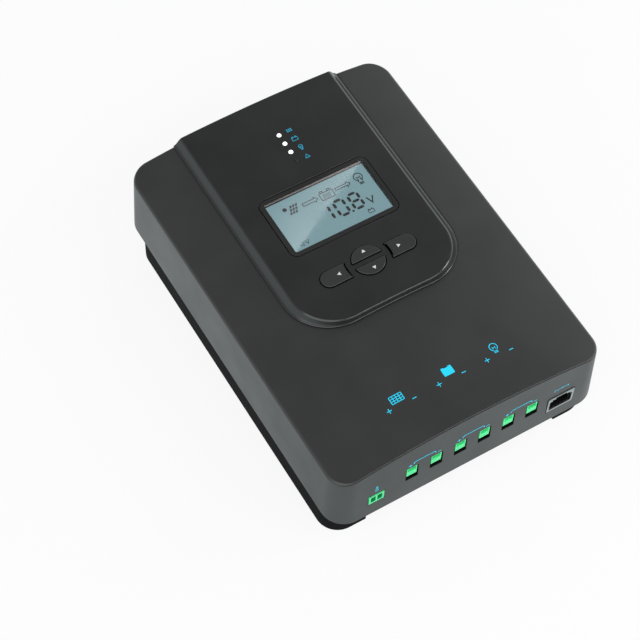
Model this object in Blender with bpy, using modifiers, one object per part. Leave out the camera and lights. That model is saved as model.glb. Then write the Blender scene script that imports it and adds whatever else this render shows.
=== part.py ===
"""Solar charge controller, modelled as an assembly of separate pieces.

The controller lies on its heat sink. X runs along the terminal edge, the terminal face looks
towards -Y, and Z is up. The origin is the middle of the footprint, on the mounting plane.
All lengths are in metres.
"""
import math

import bmesh
import bpy

# Fits
FIT_GAP = 0.0003          # clearance between pieces that meet
ARC_STEPS = 8             # segments in a quarter circle
ROUND_STEPS = 24          # segments in a full circle
CUT_MARGIN = 0.002        # how far a cutter runs past the face it opens

# Cover
BODY_WIDTH = 0.173
BODY_LENGTH = 0.238
BODY_CORNER = 0.014
SIDE_HEIGHT = 0.042       # cover wall at the side edges
CROWN_RISE = 0.0084       # middle of the top above its side edges
CROWN_STEPS = 28
EDGE_RADIUS = 0.0016      # soft side edges
INNER_RADIUS = 0.001      # side edges inside the cover
EDGE_OVERLAP = 0.0001     # how far the round edge runs past the wall before it is trimmed
DRAFT = 0.04              # inward lean of the walls for each unit of height
WALL = 0.0025
TOP_THICKNESS = 0.0025

# Heat sink
BASE_HEIGHT = 0.018       # cover wall's lower edge above the mounting plane
BASE_SIDE_INSET = 0.0009
BASE_FRONT_INSET = 0.0059
BASE_BACK_INSET = 0.0114
BASE_CORNER = 0.013
SLAB_THICKNESS = 0.005
PLATE_THICKNESS = 0.004   # plate that closes the cover from below
FIN_COUNT = 15
FIN_THICKNESS = 0.003
PAD_WIDTH = 0.0236        # corner pads that carry the brackets
PAD_LENGTH = 0.0283
END_NOTCH = 0.0133        # fins stop this far behind the corner pads
BRACKET_BORE = 0.0042
BRACKET_BORE_DEPTH = 0.008

# Cover screws
SCREW_SIDE_INSET = 0.009  # from the cover's side
SCREW_END_INSET = 0.007   # from the inner end of the corner pad
SCREW_SHANK = 0.003
SCREW_HEAD = 0.0056
SCREW_HEAD_HEIGHT = 0.0025
SCREW_SEAT = 0.010        # head seat above the mounting plane
SCREW_REACH = 0.011       # thread inside the cover boss
BOSS_DIAMETER = 0.008

# Main board and what is soldered to it
BOARD_THICKNESS = 0.0016
BOARD_END_GAP = 0.0015
PAD_SHEET = 0.0006        # thermal sheet under the transistors
PAD_SHEET_LENGTH = 0.026
TRANSISTOR_SIZE = (0.016, 0.021, 0.0023)
TRANSISTOR_SPACING = 0.060
STANDOFF_DIAMETER = 0.006
STANDOFF_INSET = 0.008
INDUCTOR_RING = 0.013
INDUCTOR_CORE = 0.0055
INDUCTOR_SPACING = 0.070
INDUCTOR_FROM_BACK = 0.065
CAPACITOR_COUNT = 3
CAPACITOR_DIAMETER = 0.018
CAPACITOR_HEIGHT = 0.028
CAPACITOR_PITCH = 0.026
CAPACITOR_FROM_TERMINALS = 0.022
TRANSISTOR_FROM_CAPACITORS = 0.045
RIBBON_WIDTH = 0.020
RIBBON_THICKNESS = 0.0009
RIBBON_SWAY = 0.004
RIBBON_STEPS = 12
RIBBON_FROM_BACK = 0.030

# Terminals
TERMINAL_COUNT = 6
TERMINAL_PITCH = 0.0154
TERMINAL_SPACE = 0.001    # between neighbouring housings
TERMINAL_DEPTH = 0.018
TERMINAL_SILL = 0.007     # board seat up to the wire mouth
MOUTH_WIDTH = 0.0077
MOUTH_HEIGHT = 0.0043
MOUTH_DEPTH = 0.014
RECESS_SILL = 0.0018      # solid between the clamp's room and the screw recess
RECESS_WIDTH = 0.0055     # screw recess above the wire mouth
RECESS_HEIGHT = 0.0042
RECESS_DEPTH = 0.0032     # behind the housing's face
NOSE_RIM = 0.0004         # nose above its screw recess
NOSE_SINK = 0.0003        # nose behind the cover's outer face
HOUSING_ROOF = 0.0034
CLAMP_THICKNESS = 0.0012
CLAMP_LENGTH = 0.0084
CLAMP_SETBACK = 0.0045    # clamp plate behind the housing's face
CLAMP_SCREW_HEAD = 0.0036
CLAMP_HEAD_HEIGHT = 0.002
CLAMP_SCREW_SHANK = 0.0024
CLAMP_SCREW_LENGTH = 0.009
SLOT_WIDTH = 0.0007
SLOT_DEPTH = 0.001

# Temperature sensor socket
SENSOR_WIDTH = 0.0096
SENSOR_HEIGHT = 0.0077
SENSOR_LIFT = 0.002       # nose above the socket's foot
SENSOR_DEPTH = 0.012
SENSOR_SPACE = 0.0095     # from the end terminal
SENSOR_HOLE = 0.003
SENSOR_HOLE_PITCH = 0.0043
SENSOR_HOLE_DEPTH = 0.008

# Data jack
JACK_WIDTH = 0.0172
JACK_HEIGHT = 0.0136
JACK_DEPTH = 0.017
JACK_SPACE = 0.0033       # from the end terminal
JACK_SHEET = 0.0009
JACK_MOUTH_WIDTH = 0.0146
JACK_MOUTH_HEIGHT = 0.0079
JACK_MOUTH_SILL = 0.0015
JACK_LATCH_WIDTH = 0.0082
JACK_LATCH_HEIGHT = 0.0032
PLUG_WIDTH = 0.0119
PLUG_HEIGHT = 0.007
PLUG_DEPTH = 0.0125
PLUG_SILL = 0.0008        # plug cavity above the insert's floor
PLUG_LATCH_WIDTH = 0.0062
PLUG_LATCH_HEIGHT = 0.0018

# Raised display panel
PANEL_WIDTH = 0.0959      # across its top edge
PANEL_LENGTH = 0.1538     # back edge to front edge
PANEL_RISE = 0.0036       # above the cover's crown, on the centre line
PANEL_ARCH = 0.0016       # middle of its top above its sides
PANEL_CORNER = 0.020
PANEL_SIDE_LEAN = 0.78    # run of the sloped sides for each unit of rise
PANEL_FRONT_LEAN = 0.25
POCKET_RIM = 0.005        # solid rim round the hollow underside
COVER_RIM = 0.0085        # cover left under the panel's rim

# Display
WINDOW_WIDTH = 0.0664
WINDOW_LENGTH = 0.0408
WINDOW_CORNER = 0.004
WINDOW_THICKNESS = 0.001
WINDOW_SINK = 0.0001      # below the panel's top at the window's sides
WINDOW_LEDGE = 0.001
WINDOW_FROM_FRONT = 0.0688
VIEW_WIDTH = 0.0626
VIEW_LENGTH = 0.0344
LCD_BORDER = 0.0035
LCD_THICKNESS = 0.002
BACKLIGHT_BORDER = 0.001
BACKLIGHT_THICKNESS = 0.004
DISPLAY_BOARD_RIM = 0.0015
BOARD_POST = 0.006
POST_INSET = 0.0045

# Keys
KEY_FROM_FRONT = 0.027
KEY_DISC_RADIUS = 0.0098  # outline that the up and down keys share
KEY_SPLIT = 0.0034        # between the up and down keys
KEY_RING_RADIUS = 0.0138  # inner ends of the left and right keys
KEY_REACH = 0.0300        # centre to the outer end of a side key
KEY_BREADTH = 0.0104
KEY_PROUD = 0.0005
KEY_TRAVEL = 0.0005
KEY_FLANGE = 0.0009
KEY_FLANGE_THICKNESS = 0.001
KEY_STEM = 0.004
SWITCH_SIZE = 0.006
SWITCH_HEIGHT = 0.003
PLUNGER_DIAMETER = 0.003
PLUNGER_PROUD = 0.001
PLUNGER_SINK = 0.0012

# Indicator lights
LIGHT_COUNT = 4
LIGHT_PITCH = 0.0067
LIGHT_FROM_FRONT = 0.1048
LIGHT_DIAMETER = 0.003
LIGHT_FLANGE = 0.0046
LIGHT_FLANGE_THICKNESS = 0.001

# Levels worked out from the sizes above
COVER_FOOT = BASE_HEIGHT
CROWN_TOP = COVER_FOOT + SIDE_HEIGHT + CROWN_RISE
PANEL_TOP = CROWN_TOP + PANEL_RISE
PLATE_TOP = COVER_FOOT + PLATE_THICKNESS
SHEET_BOTTOM = PLATE_TOP + FIT_GAP
TRANSISTOR_BOTTOM = SHEET_BOTTOM + PAD_SHEET + FIT_GAP
BOARD_BOTTOM = TRANSISTOR_BOTTOM + TRANSISTOR_SIZE[2] + FIT_GAP
BOARD_SEAT = BOARD_BOTTOM + BOARD_THICKNESS + FIT_GAP
MOUTH_BOTTOM = BOARD_SEAT + TERMINAL_SILL
MOUTH_TOP = MOUTH_BOTTOM + MOUTH_HEIGHT
CLAMP_ROOM_TOP = MOUTH_TOP + CLAMP_THICKNESS + 2 * FIT_GAP
RECESS_BOTTOM = CLAMP_ROOM_TOP + RECESS_SILL
RECESS_TOP = RECESS_BOTTOM + RECESS_HEIGHT
NOSE_TOP = RECESS_TOP + NOSE_RIM
PORT_TOP = NOSE_TOP + FIT_GAP
HOUSING_TOP = RECESS_TOP + HOUSING_ROOF
KEY_TOP = PANEL_TOP + KEY_PROUD

# Places worked out from the sizes above
BASE_WIDTH = BODY_WIDTH - 2 * BASE_SIDE_INSET
BASE_LENGTH = BODY_LENGTH - BASE_FRONT_INSET - BASE_BACK_INSET
BASE_Y = (BASE_FRONT_INSET - BASE_BACK_INSET) / 2   # middle of the base
FIN_END = BASE_LENGTH / 2 - END_NOTCH
PAD_INNER_X = BASE_WIDTH / 2 - PAD_WIDTH
PAD_INNER_Y = BASE_LENGTH / 2 - PAD_LENGTH
SCREW_X = BODY_WIDTH / 2 - SCREW_SIDE_INSET
SCREW_Y = PAD_INNER_Y + SCREW_END_INSET
BOARD_WIDTH = 2 * (SCREW_X - BOSS_DIAMETER / 2 - BOARD_END_GAP)
ROW_HALF = TERMINAL_COUNT * TERMINAL_PITCH / 2
JACK_X = ROW_HALF + JACK_SPACE + JACK_WIDTH / 2
SENSOR_X = -(ROW_HALF + SENSOR_SPACE + SENSOR_WIDTH / 2)
PANEL_FRONT = BODY_LENGTH / 2 - PANEL_LENGTH
KEY_Y = PANEL_FRONT + KEY_FROM_FRONT
WINDOW_Y = PANEL_FRONT + WINDOW_FROM_FRONT
FIRST_LIGHT_Y = PANEL_FRONT + LIGHT_FROM_FRONT

PARTS = None
CUTTERS = None
MATERIALS = {}


def crown_height(x):
    """Height of the cover's outer top surface at a distance x from the centre line."""
    return CROWN_TOP - CROWN_RISE * (2 * x / BODY_WIDTH) ** 2


def panel_height(x):
    """Height of the display panel's top surface at a distance x from the centre line."""
    return PANEL_TOP - PANEL_ARCH * (2 * x / PANEL_WIDTH) ** 2


def wall_lean(z):
    """How far the drafted cover wall has moved inwards at height z."""
    return DRAFT * (z - COVER_FOOT)


def front_outer(z):
    """Y of the cover's front face at height z."""
    return -BODY_LENGTH / 2 + wall_lean(z)


def front_inner(z):
    """Y of the inside of the cover's front wall at height z."""
    return front_outer(z) + WALL


WINDOW_TOP = panel_height(WINDOW_WIDTH / 2) - WINDOW_SINK
POCKET_TOP = WINDOW_TOP - WINDOW_THICKNESS - FIT_GAP - WINDOW_LEDGE
HUNG_TOP = POCKET_TOP - FIT_GAP
BACKLIGHT_TOP = HUNG_TOP - LCD_THICKNESS - FIT_GAP
DISPLAY_SEAT = BACKLIGHT_TOP - BACKLIGHT_THICKNESS
DISPLAY_BOARD_TOP = DISPLAY_SEAT - FIT_GAP
DISPLAY_BOARD_BOTTOM = DISPLAY_BOARD_TOP - BOARD_THICKNESS
SWITCH_TOP = DISPLAY_SEAT + SWITCH_HEIGHT
PLUNGER_TOP = SWITCH_TOP + PLUNGER_PROUD
PLUNGER_BOTTOM = SWITCH_TOP - PLUNGER_SINK
TERMINAL_FACE = front_inner(HOUSING_TOP) + FIT_GAP


# Scene and materials

def clear_scene():
    """Remove every object so that the script starts from an empty scene."""
    for obj in list(bpy.data.objects):
        bpy.data.objects.remove(obj, do_unlink=True)


def make_collection(name):
    """Return a new collection linked to the scene."""
    collection = bpy.data.collections.new(name)
    bpy.context.scene.collection.children.link(collection)
    return collection


def material(name, colour, roughness, metallic=0.0):
    """Make one Principled material and keep it under its name."""
    item = bpy.data.materials.new(name)
    item.use_nodes = True
    shader = item.node_tree.nodes["Principled BSDF"]
    shader.inputs["Base Color"].default_value = (*colour, 1.0)
    shader.inputs["Roughness"].default_value = roughness
    shader.inputs["Metallic"].default_value = metallic
    MATERIALS[name] = item


def make_materials():
    """Make the finishes that the pieces share."""
    material("grey_plastic", (0.115, 0.125, 0.125), 0.5)
    material("dark_plastic", (0.035, 0.036, 0.037), 0.4)
    material("black_aluminium", (0.012, 0.012, 0.013), 0.45, 0.8)
    material("clear_window", (0.02, 0.022, 0.024), 0.08)
    material("display_glass", (0.26, 0.38, 0.41), 0.2)
    material("white_plastic", (0.8, 0.8, 0.78), 0.5)
    material("green_board", (0.02, 0.16, 0.06), 0.5)
    material("key_plastic", (0.03, 0.031, 0.032), 0.35)
    material("clear_plastic", (0.85, 0.88, 0.9), 0.15)
    material("terminal_green", (0.07, 0.72, 0.22), 0.4)
    material("zinc_steel", (0.62, 0.63, 0.64), 0.35, 1.0)
    material("black_plastic", (0.01, 0.01, 0.01), 0.5)
    material("ferrite_winding", (0.45, 0.2, 0.07), 0.4, 0.6)
    material("ribbon_grey", (0.4, 0.4, 0.4), 0.6)
    material("thermal_sheet", (0.35, 0.42, 0.5), 0.8)


def register(obj, finish):
    """Put a finished piece in the parts collection with its material."""
    PARTS.objects.link(obj)
    obj.data.materials.append(MATERIALS[finish])
    obj.data.shade_smooth()
    obj.data.set_sharp_from_angle(angle=math.radians(30))
    return obj


def as_cutter(obj):
    """Put a helper shape in the cutters collection, where it is not rendered."""
    CUTTERS.objects.link(obj)
    obj.hide_render = True
    obj.display_type = "WIRE"
    return obj


# Shapes

def mesh_object(name, bm, location=(0.0, 0.0, 0.0)):
    """Turn a bmesh into an object at a location."""
    bmesh.ops.recalc_face_normals(bm, faces=bm.faces)
    mesh = bpy.data.meshes.new(name)
    bm.to_mesh(mesh)
    bm.free()
    obj = bpy.data.objects.new(name, mesh)
    obj.location = location
    return obj


def add_box(bm, low, high):
    """Add a box between two corners to a bmesh."""
    made = bmesh.ops.create_cube(bm, size=1.0)
    for vert in made["verts"]:
        for axis in range(3):
            middle = (low[axis] + high[axis]) / 2
            vert.co[axis] = middle + vert.co[axis] * (high[axis] - low[axis])


def box(name, low, high, location=(0.0, 0.0, 0.0)):
    """Make a box object between two corners, given about its location."""
    bm = bmesh.new()
    add_box(bm, low, high)
    return mesh_object(name, bm, location)


def boxes(name, corners):
    """Make one object from several boxes that do not touch."""
    bm = bmesh.new()
    for low, high in corners:
        add_box(bm, low, high)
    return mesh_object(name, bm)


def extrude_outline(name, outline, place, place_end, location=(0.0, 0.0, 0.0)):
    """Fill an outline, extrude it, and set both ends with the two placing functions."""
    bm = bmesh.new()
    ring = [bm.verts.new(place(index, point)) for index, point in enumerate(outline)]
    face = bm.faces.new(ring)
    made = bmesh.ops.extrude_face_region(bm, geom=[face])
    moved = [item for item in made["geom"] if isinstance(item, bmesh.types.BMVert)]
    start = {tuple(vert.co): index for index, vert in enumerate(ring)}
    for vert in moved:
        index = start[tuple(vert.co)]
        vert.co = place_end(index, outline[index])
    return mesh_object(name, bm, location)


def prism(name, outline, low, high, top_outline=None, location=(0.0, 0.0, 0.0)):
    """Stand an XY outline up from low to high, with another outline at the top if given."""
    upper = top_outline or outline

    def place(_, point):
        return (point[0], point[1], low)

    def place_end(index, _):
        return (upper[index][0], upper[index][1], high)

    return extrude_outline(name, outline, place, place_end, location)


def prism_along_y(name, outline, start, end):
    """Extrude an XZ outline along Y."""
    def place(_, point):
        return (point[0], start, point[1])

    def place_end(_, point):
        return (point[0], end, point[1])

    return extrude_outline(name, outline, place, place_end)


def prism_along_x(name, outline, start, end):
    """Extrude a YZ outline along X."""
    def place(_, point):
        return (start, point[0], point[1])

    def place_end(_, point):
        return (end, point[0], point[1])

    return extrude_outline(name, outline, place, place_end)


def cylinder(name, diameter, low, high, location):
    """Make an upright cylinder between two heights about its location."""
    bm = bmesh.new()
    bmesh.ops.create_cone(bm, cap_ends=True, segments=ROUND_STEPS, radius1=diameter / 2,
                          radius2=diameter / 2, depth=high - low)
    for vert in bm.verts:
        vert.co.z += (low + high) / 2
    return mesh_object(name, bm, location)


def cylinders(name, diameter, low, high, places):
    """Make one object from several upright cylinders that do not touch."""
    bm = bmesh.new()
    for x, y in places:
        made = bmesh.ops.create_cone(bm, cap_ends=True, segments=ROUND_STEPS,
                                     radius1=diameter / 2, radius2=diameter / 2,
                                     depth=high - low)
        for vert in made["verts"]:
            vert.co.x += x
            vert.co.y += y
            vert.co.z += (low + high) / 2
    return mesh_object(name, bm)


def turned(name, profile, location, axis="Z"):
    """Turn a profile of (radius, height) points, listed from top to bottom, into a solid."""
    bm = bmesh.new()
    verts = [bm.verts.new((radius, 0.0, height)) for radius, height in profile]
    for first, second in zip(verts, verts[1:]):
        bm.edges.new((first, second))
    mesh = bpy.data.meshes.new(name)
    bm.to_mesh(mesh)
    bm.free()
    obj = bpy.data.objects.new(name, mesh)
    obj.location = location
    if axis == "Y":
        obj.rotation_euler = (math.radians(90), 0.0, 0.0)
    screw = obj.modifiers.new("turn", "SCREW")
    screw.axis = "Z"
    screw.steps = ROUND_STEPS
    screw.render_steps = ROUND_STEPS
    screw.use_merge_vertices = True
    screw.merge_threshold = 0.00001
    return obj


def combine(target, tool, operation):
    """Add a Boolean step to a piece."""
    step = target.modifiers.new(operation.lower(), "BOOLEAN")
    step.operation = operation
    step.solver = "EXACT"
    step.object = tool


def cut(target, tool):
    """Cut a helper shape out of a piece."""
    combine(target, as_cutter(tool), "DIFFERENCE")


def fuse(target, tool):
    """Join a helper shape to a piece as one body."""
    combine(target, as_cutter(tool), "UNION")


def keep_common(target, tool):
    """Keep only what a piece shares with a helper shape."""
    combine(target, as_cutter(tool), "INTERSECT")


# Outlines

def arc(centre, radius, start, end, steps=ARC_STEPS):
    """Points on an arc, with angles in degrees."""
    points = []
    for step in range(steps + 1):
        angle = math.radians(start + (end - start) * step / steps)
        points.append((centre[0] + radius * math.cos(angle), centre[1] + radius * math.sin(angle)))
    return points


def rounded_rectangle(width, length, radius):
    """Outline of a rectangle with round corners about the origin."""
    x = width / 2 - radius
    y = length / 2 - radius
    outline = arc((x, y), radius, 0, 90)
    outline += arc((-x, y), radius, 90, 180)
    outline += arc((-x, -y), radius, 180, 270)
    outline += arc((x, -y), radius, 270, 360)
    return outline


def shifted(outline, dx, dy):
    """Move an outline."""
    return [(x + dx, y + dy) for x, y in outline]


def drafted_block(name, inset, low, high):
    """Make the cover's drafted block, moved inwards by an inset, between two heights."""
    rings = []
    for z in (low, high):
        lean = inset + wall_lean(z)
        rings.append(rounded_rectangle(BODY_WIDTH - 2 * lean, BODY_LENGTH - 2 * lean,
                                       BODY_CORNER - lean))
    return prism(name, rings[0], low, high, rings[1])


def crown_outline(drop, edge_radius):
    """XZ outline of everything under the cover's top, lowered by a drop, with round side edges."""
    wall = BODY_WIDTH / 2 - wall_lean(CROWN_TOP - CROWN_RISE) - drop
    x_edge = wall + EDGE_OVERLAP - edge_radius
    tilt = 0.0
    for _ in range(6):
        x_touch = x_edge + edge_radius * math.sin(tilt)
        tilt = math.atan(8 * CROWN_RISE * x_touch / BODY_WIDTH ** 2)
    z_edge = crown_height(x_touch) - drop - edge_radius * math.cos(tilt)
    side = arc((x_edge, z_edge), edge_radius, 0, 90 - math.degrees(tilt))
    half = []
    for step in range(1, CROWN_STEPS // 2):
        x = x_touch * (1 - 2 * step / CROWN_STEPS)
        half.append((x, crown_height(x) - drop))
    far = BODY_WIDTH
    right = [(far, COVER_FOOT - CUT_MARGIN), (far, z_edge)] + side + half
    left = [(-x, z) for x, z in reversed(right)]
    return right + [(0.0, CROWN_TOP - drop)] + left


def panel_outline(z):
    """XY outline of the display panel's drafted block at height z."""
    fall = PANEL_TOP - z
    x = PANEL_WIDTH / 2 + PANEL_SIDE_LEAN * fall
    front = PANEL_FRONT - PANEL_FRONT_LEAN * fall
    back = BODY_LENGTH / 2 - wall_lean(z)
    radius = PANEL_CORNER
    outline = [(x, back), (-x, back)]
    outline += arc((-x + radius, front + radius), radius, 180, 270)
    outline += arc((x - radius, front + radius), radius, 270, 360)
    return outline


def half_moon(grow):
    """Outline of the up key about the middle of the key group, grown on every side."""
    radius = KEY_DISC_RADIUS + grow
    base = KEY_SPLIT / 2 - grow
    reach = math.degrees(math.asin(base / radius))
    points = arc((0.0, 0.0), radius, reach, 180 - reach, 2 * ARC_STEPS)
    return points


def side_key(grow):
    """Outline of the right key about the middle of the key group, grown on every side."""
    inner = KEY_RING_RADIUS - grow
    half = KEY_BREADTH / 2 + grow
    reach = math.degrees(math.asin(half / inner))
    end = KEY_REACH + grow - half
    points = arc((0.0, 0.0), inner, reach, -reach)
    points += arc((end, 0.0), half, -90, 90)
    return points


KEYS = {
    "up": (half_moon, False),
    "down": (half_moon, True),
    "right": (side_key, False),
    "left": (side_key, True),
}


def key_centre(name):
    """Middle of one key, where its switch sits."""
    side = (KEY_RING_RADIUS + KEY_REACH) / 2
    rise = (KEY_SPLIT / 2 + KEY_DISC_RADIUS) / 2
    offsets = {"up": (0, rise), "down": (0, -rise), "right": (side, 0), "left": (-side, 0)}
    return (offsets[name][0], KEY_Y + offsets[name][1])


def key_outline(name, grow):
    """Outline of one key in the part's frame, turned half round for the down and left keys."""
    shape, turned_round = KEYS[name]
    outline = shape(grow)
    if turned_round:
        outline = [(-x, -y) for x, y in outline]
    return shifted(outline, 0.0, KEY_Y)


def light_places():
    """Centres of the indicator lights."""
    return [(0.0, FIRST_LIGHT_Y + index * LIGHT_PITCH) for index in range(LIGHT_COUNT)]


def screw_places():
    """Centres of the cover screws."""
    return [(sx * SCREW_X, BASE_Y + sy * SCREW_Y) for sy in (-1, 1) for sx in (-1, 1)]


def terminal_x(index):
    """Middle of one terminal."""
    return (index - (TERMINAL_COUNT - 1) / 2) * TERMINAL_PITCH


# Enclosure

def board_ends():
    """Front and back ends of the main board."""
    front = front_inner(BOARD_BOTTOM) + BOARD_END_GAP
    return front, -front


def standoff_places():
    """Centres of the posts that carry the main board."""
    front, back = board_ends()
    x = BOARD_WIDTH / 2 - STANDOFF_INSET
    rows = (front + TERMINAL_DEPTH + STANDOFF_INSET, back - STANDOFF_INSET)
    return [(sx * x, y) for y in rows for sx in (-1, 1)]


def fin_slots():
    """Corners of the slots between the fins and of the two end notches."""
    pitch = (BASE_WIDTH - FIN_THICKNESS) / (FIN_COUNT - 1)
    top = COVER_FOOT - FIT_GAP - SLAB_THICKNESS
    far = BASE_LENGTH / 2 + CUT_MARGIN
    slots = []
    for index in range(FIN_COUNT - 1):
        left = -BASE_WIDTH / 2 + index * pitch + FIN_THICKNESS
        right = left + pitch - FIN_THICKNESS
        inside = max(abs(left), abs(right)) < PAD_INNER_X
        end = FIN_END + CUT_MARGIN if inside else PAD_INNER_Y
        slots.append(((left, BASE_Y - end, -CUT_MARGIN), (right, BASE_Y + end, top)))
    notches = []
    for side in (-1, 1):
        ends = sorted((BASE_Y + side * FIN_END, BASE_Y + side * far))
        notches.append(((-PAD_INNER_X, ends[0], -CUT_MARGIN), (PAD_INNER_X, ends[1], top)))
    return slots, notches


def make_heatsink():
    """Finned base with corner pads, and the plate that closes the cover from below."""
    block_top = COVER_FOOT - FIT_GAP
    outline = shifted(rounded_rectangle(BASE_WIDTH, BASE_LENGTH, BASE_CORNER), 0.0, BASE_Y)
    sink = prism("heatsink", outline, 0.0, block_top)
    slots, notches = fin_slots()
    cut(sink, boxes("fin_slots", slots))
    cut(sink, boxes("end_notches", notches))
    neck_x = BASE_WIDTH / 2 - 2 * SLAB_THICKNESS
    neck_y = BASE_LENGTH / 2 - 2 * SLAB_THICKNESS
    fuse(sink, box("plate_neck", (-neck_x, BASE_Y - neck_y, block_top - FIT_GAP),
                   (neck_x, BASE_Y + neck_y, COVER_FOOT + FIT_GAP)))
    inset = WALL + wall_lean(PLATE_TOP) + FIT_GAP
    plate = rounded_rectangle(BODY_WIDTH - 2 * inset, BODY_LENGTH - 2 * inset,
                              BODY_CORNER - inset)
    fuse(sink, prism("cover_plate", plate, COVER_FOOT, PLATE_TOP))
    fuse(sink, cylinders("standoffs", STANDOFF_DIAMETER, PLATE_TOP - PLATE_THICKNESS / 2,
                         BOARD_BOTTOM - FIT_GAP, standoff_places()))
    hole = SCREW_SHANK + 2 * FIT_GAP
    cut(sink, cylinders("screw_holes", hole, 0.0, PLATE_TOP + CUT_MARGIN, screw_places()))
    well = SCREW_HEAD + 4 * FIT_GAP
    cut(sink, cylinders("screw_wells", well, -CUT_MARGIN, SCREW_SEAT, screw_places()))
    x = BASE_WIDTH / 2 - BASE_CORNER
    y = BASE_LENGTH / 2 - BASE_CORNER
    corners = [(sx * x, BASE_Y + sy * y) for sx in (-1, 1) for sy in (-1, 1)]
    cut(sink, cylinders("bracket_bores", BRACKET_BORE, -CUT_MARGIN, BRACKET_BORE_DEPTH, corners))
    return register(sink, "black_aluminium")


def port_openings():
    """Corners of the openings in the cover's front wall."""
    outside = front_outer(COVER_FOOT) - CUT_MARGIN
    inside = front_inner(HOUSING_TOP) + CUT_MARGIN
    openings = []
    for index in range(TERMINAL_COUNT):
        x = terminal_x(index)
        openings.append(((x - MOUTH_WIDTH / 2, outside, MOUTH_BOTTOM),
                         (x + MOUTH_WIDTH / 2, inside, PORT_TOP)))
    half = SENSOR_WIDTH / 2 + FIT_GAP
    low = BOARD_SEAT + SENSOR_LIFT - FIT_GAP
    openings.append(((SENSOR_X - half, outside, low),
                     (SENSOR_X + half, inside, low + SENSOR_HEIGHT + 2 * FIT_GAP)))
    half = JACK_WIDTH / 2 + FIT_GAP
    openings.append(((JACK_X - half, outside, BOARD_SEAT - FIT_GAP),
                     (JACK_X + half, inside, BOARD_SEAT + JACK_HEIGHT + FIT_GAP)))
    return openings


def aperture():
    """Corners of the opening in the cover's top, under the display panel."""
    x = PANEL_WIDTH / 2 - COVER_RIM
    front = PANEL_FRONT + COVER_RIM
    back = FIRST_LIGHT_Y + LIGHT_COUNT * LIGHT_PITCH
    return (-x, front), (x, back)


def make_top_cover():
    """Crowned, drafted cover: a hollow shell with its openings and screw bosses."""
    high = CROWN_TOP + CUT_MARGIN
    cover = drafted_block("top_cover", 0.0, COVER_FOOT, high)
    reach = BODY_LENGTH / 2 + CUT_MARGIN
    keep_common(cover, prism_along_y("crown", crown_outline(0.0, EDGE_RADIUS), -reach, reach))
    hollow = drafted_block("cover_hollow", WALL, COVER_FOOT - CUT_MARGIN, high)
    roof = prism_along_y("hollow_crown", crown_outline(TOP_THICKNESS, INNER_RADIUS),
                         -reach, reach)
    keep_common(hollow, roof)
    cut(cover, hollow)
    boss_top = crown_height(SCREW_X) - TOP_THICKNESS / 2
    fuse(cover, cylinders("screw_bosses", BOSS_DIAMETER, PLATE_TOP + FIT_GAP, boss_top,
                          screw_places()))
    hole = SCREW_SHANK + 2 * FIT_GAP
    cut(cover, cylinders("boss_bores", hole, PLATE_TOP - CUT_MARGIN,
                         PLATE_TOP + SCREW_REACH + 2 * FIT_GAP, screw_places()))
    cut(cover, boxes("port_openings", port_openings()))
    low, top = aperture()
    cut(cover, box("display_aperture", (*low, COVER_FOOT + SIDE_HEIGHT / 2),
                   (*top, CROWN_TOP + CUT_MARGIN)))
    return register(cover, "grey_plastic")


def make_cover_screws():
    """Four screws driven from below, through the pads and into the cover's bosses."""
    head_top = SCREW_SEAT - FIT_GAP
    tip = PLATE_TOP + SCREW_REACH
    profile = [
        (0.0, tip),
        (SCREW_SHANK / 2, tip),
        (SCREW_SHANK / 2, head_top),
        (SCREW_HEAD / 2, head_top),
        (SCREW_HEAD / 2, head_top - SCREW_HEAD_HEIGHT),
        (0.0, head_top - SCREW_HEAD_HEIGHT),
    ]
    for number, (x, y) in enumerate(screw_places(), start=1):
        register(turned(f"cover_screw_{number}", profile, (x, y, 0.0)), "zinc_steel")


# Display panel and display

def display_board_corners():
    """Low and high corners of the display board's outline."""
    low, high = aperture()
    rim = DISPLAY_BOARD_RIM
    return (low[0] + rim, low[1] + rim), (high[0] - rim, high[1] - rim)


def post_places():
    """Centres of the posts that carry the display board."""
    low, high = display_board_corners()
    xs = (low[0] + POST_INSET, high[0] - POST_INSET)
    ys = (low[1] + POST_INSET, high[1] - POST_INSET)
    return [(x, y) for x in xs for y in ys]


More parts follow.
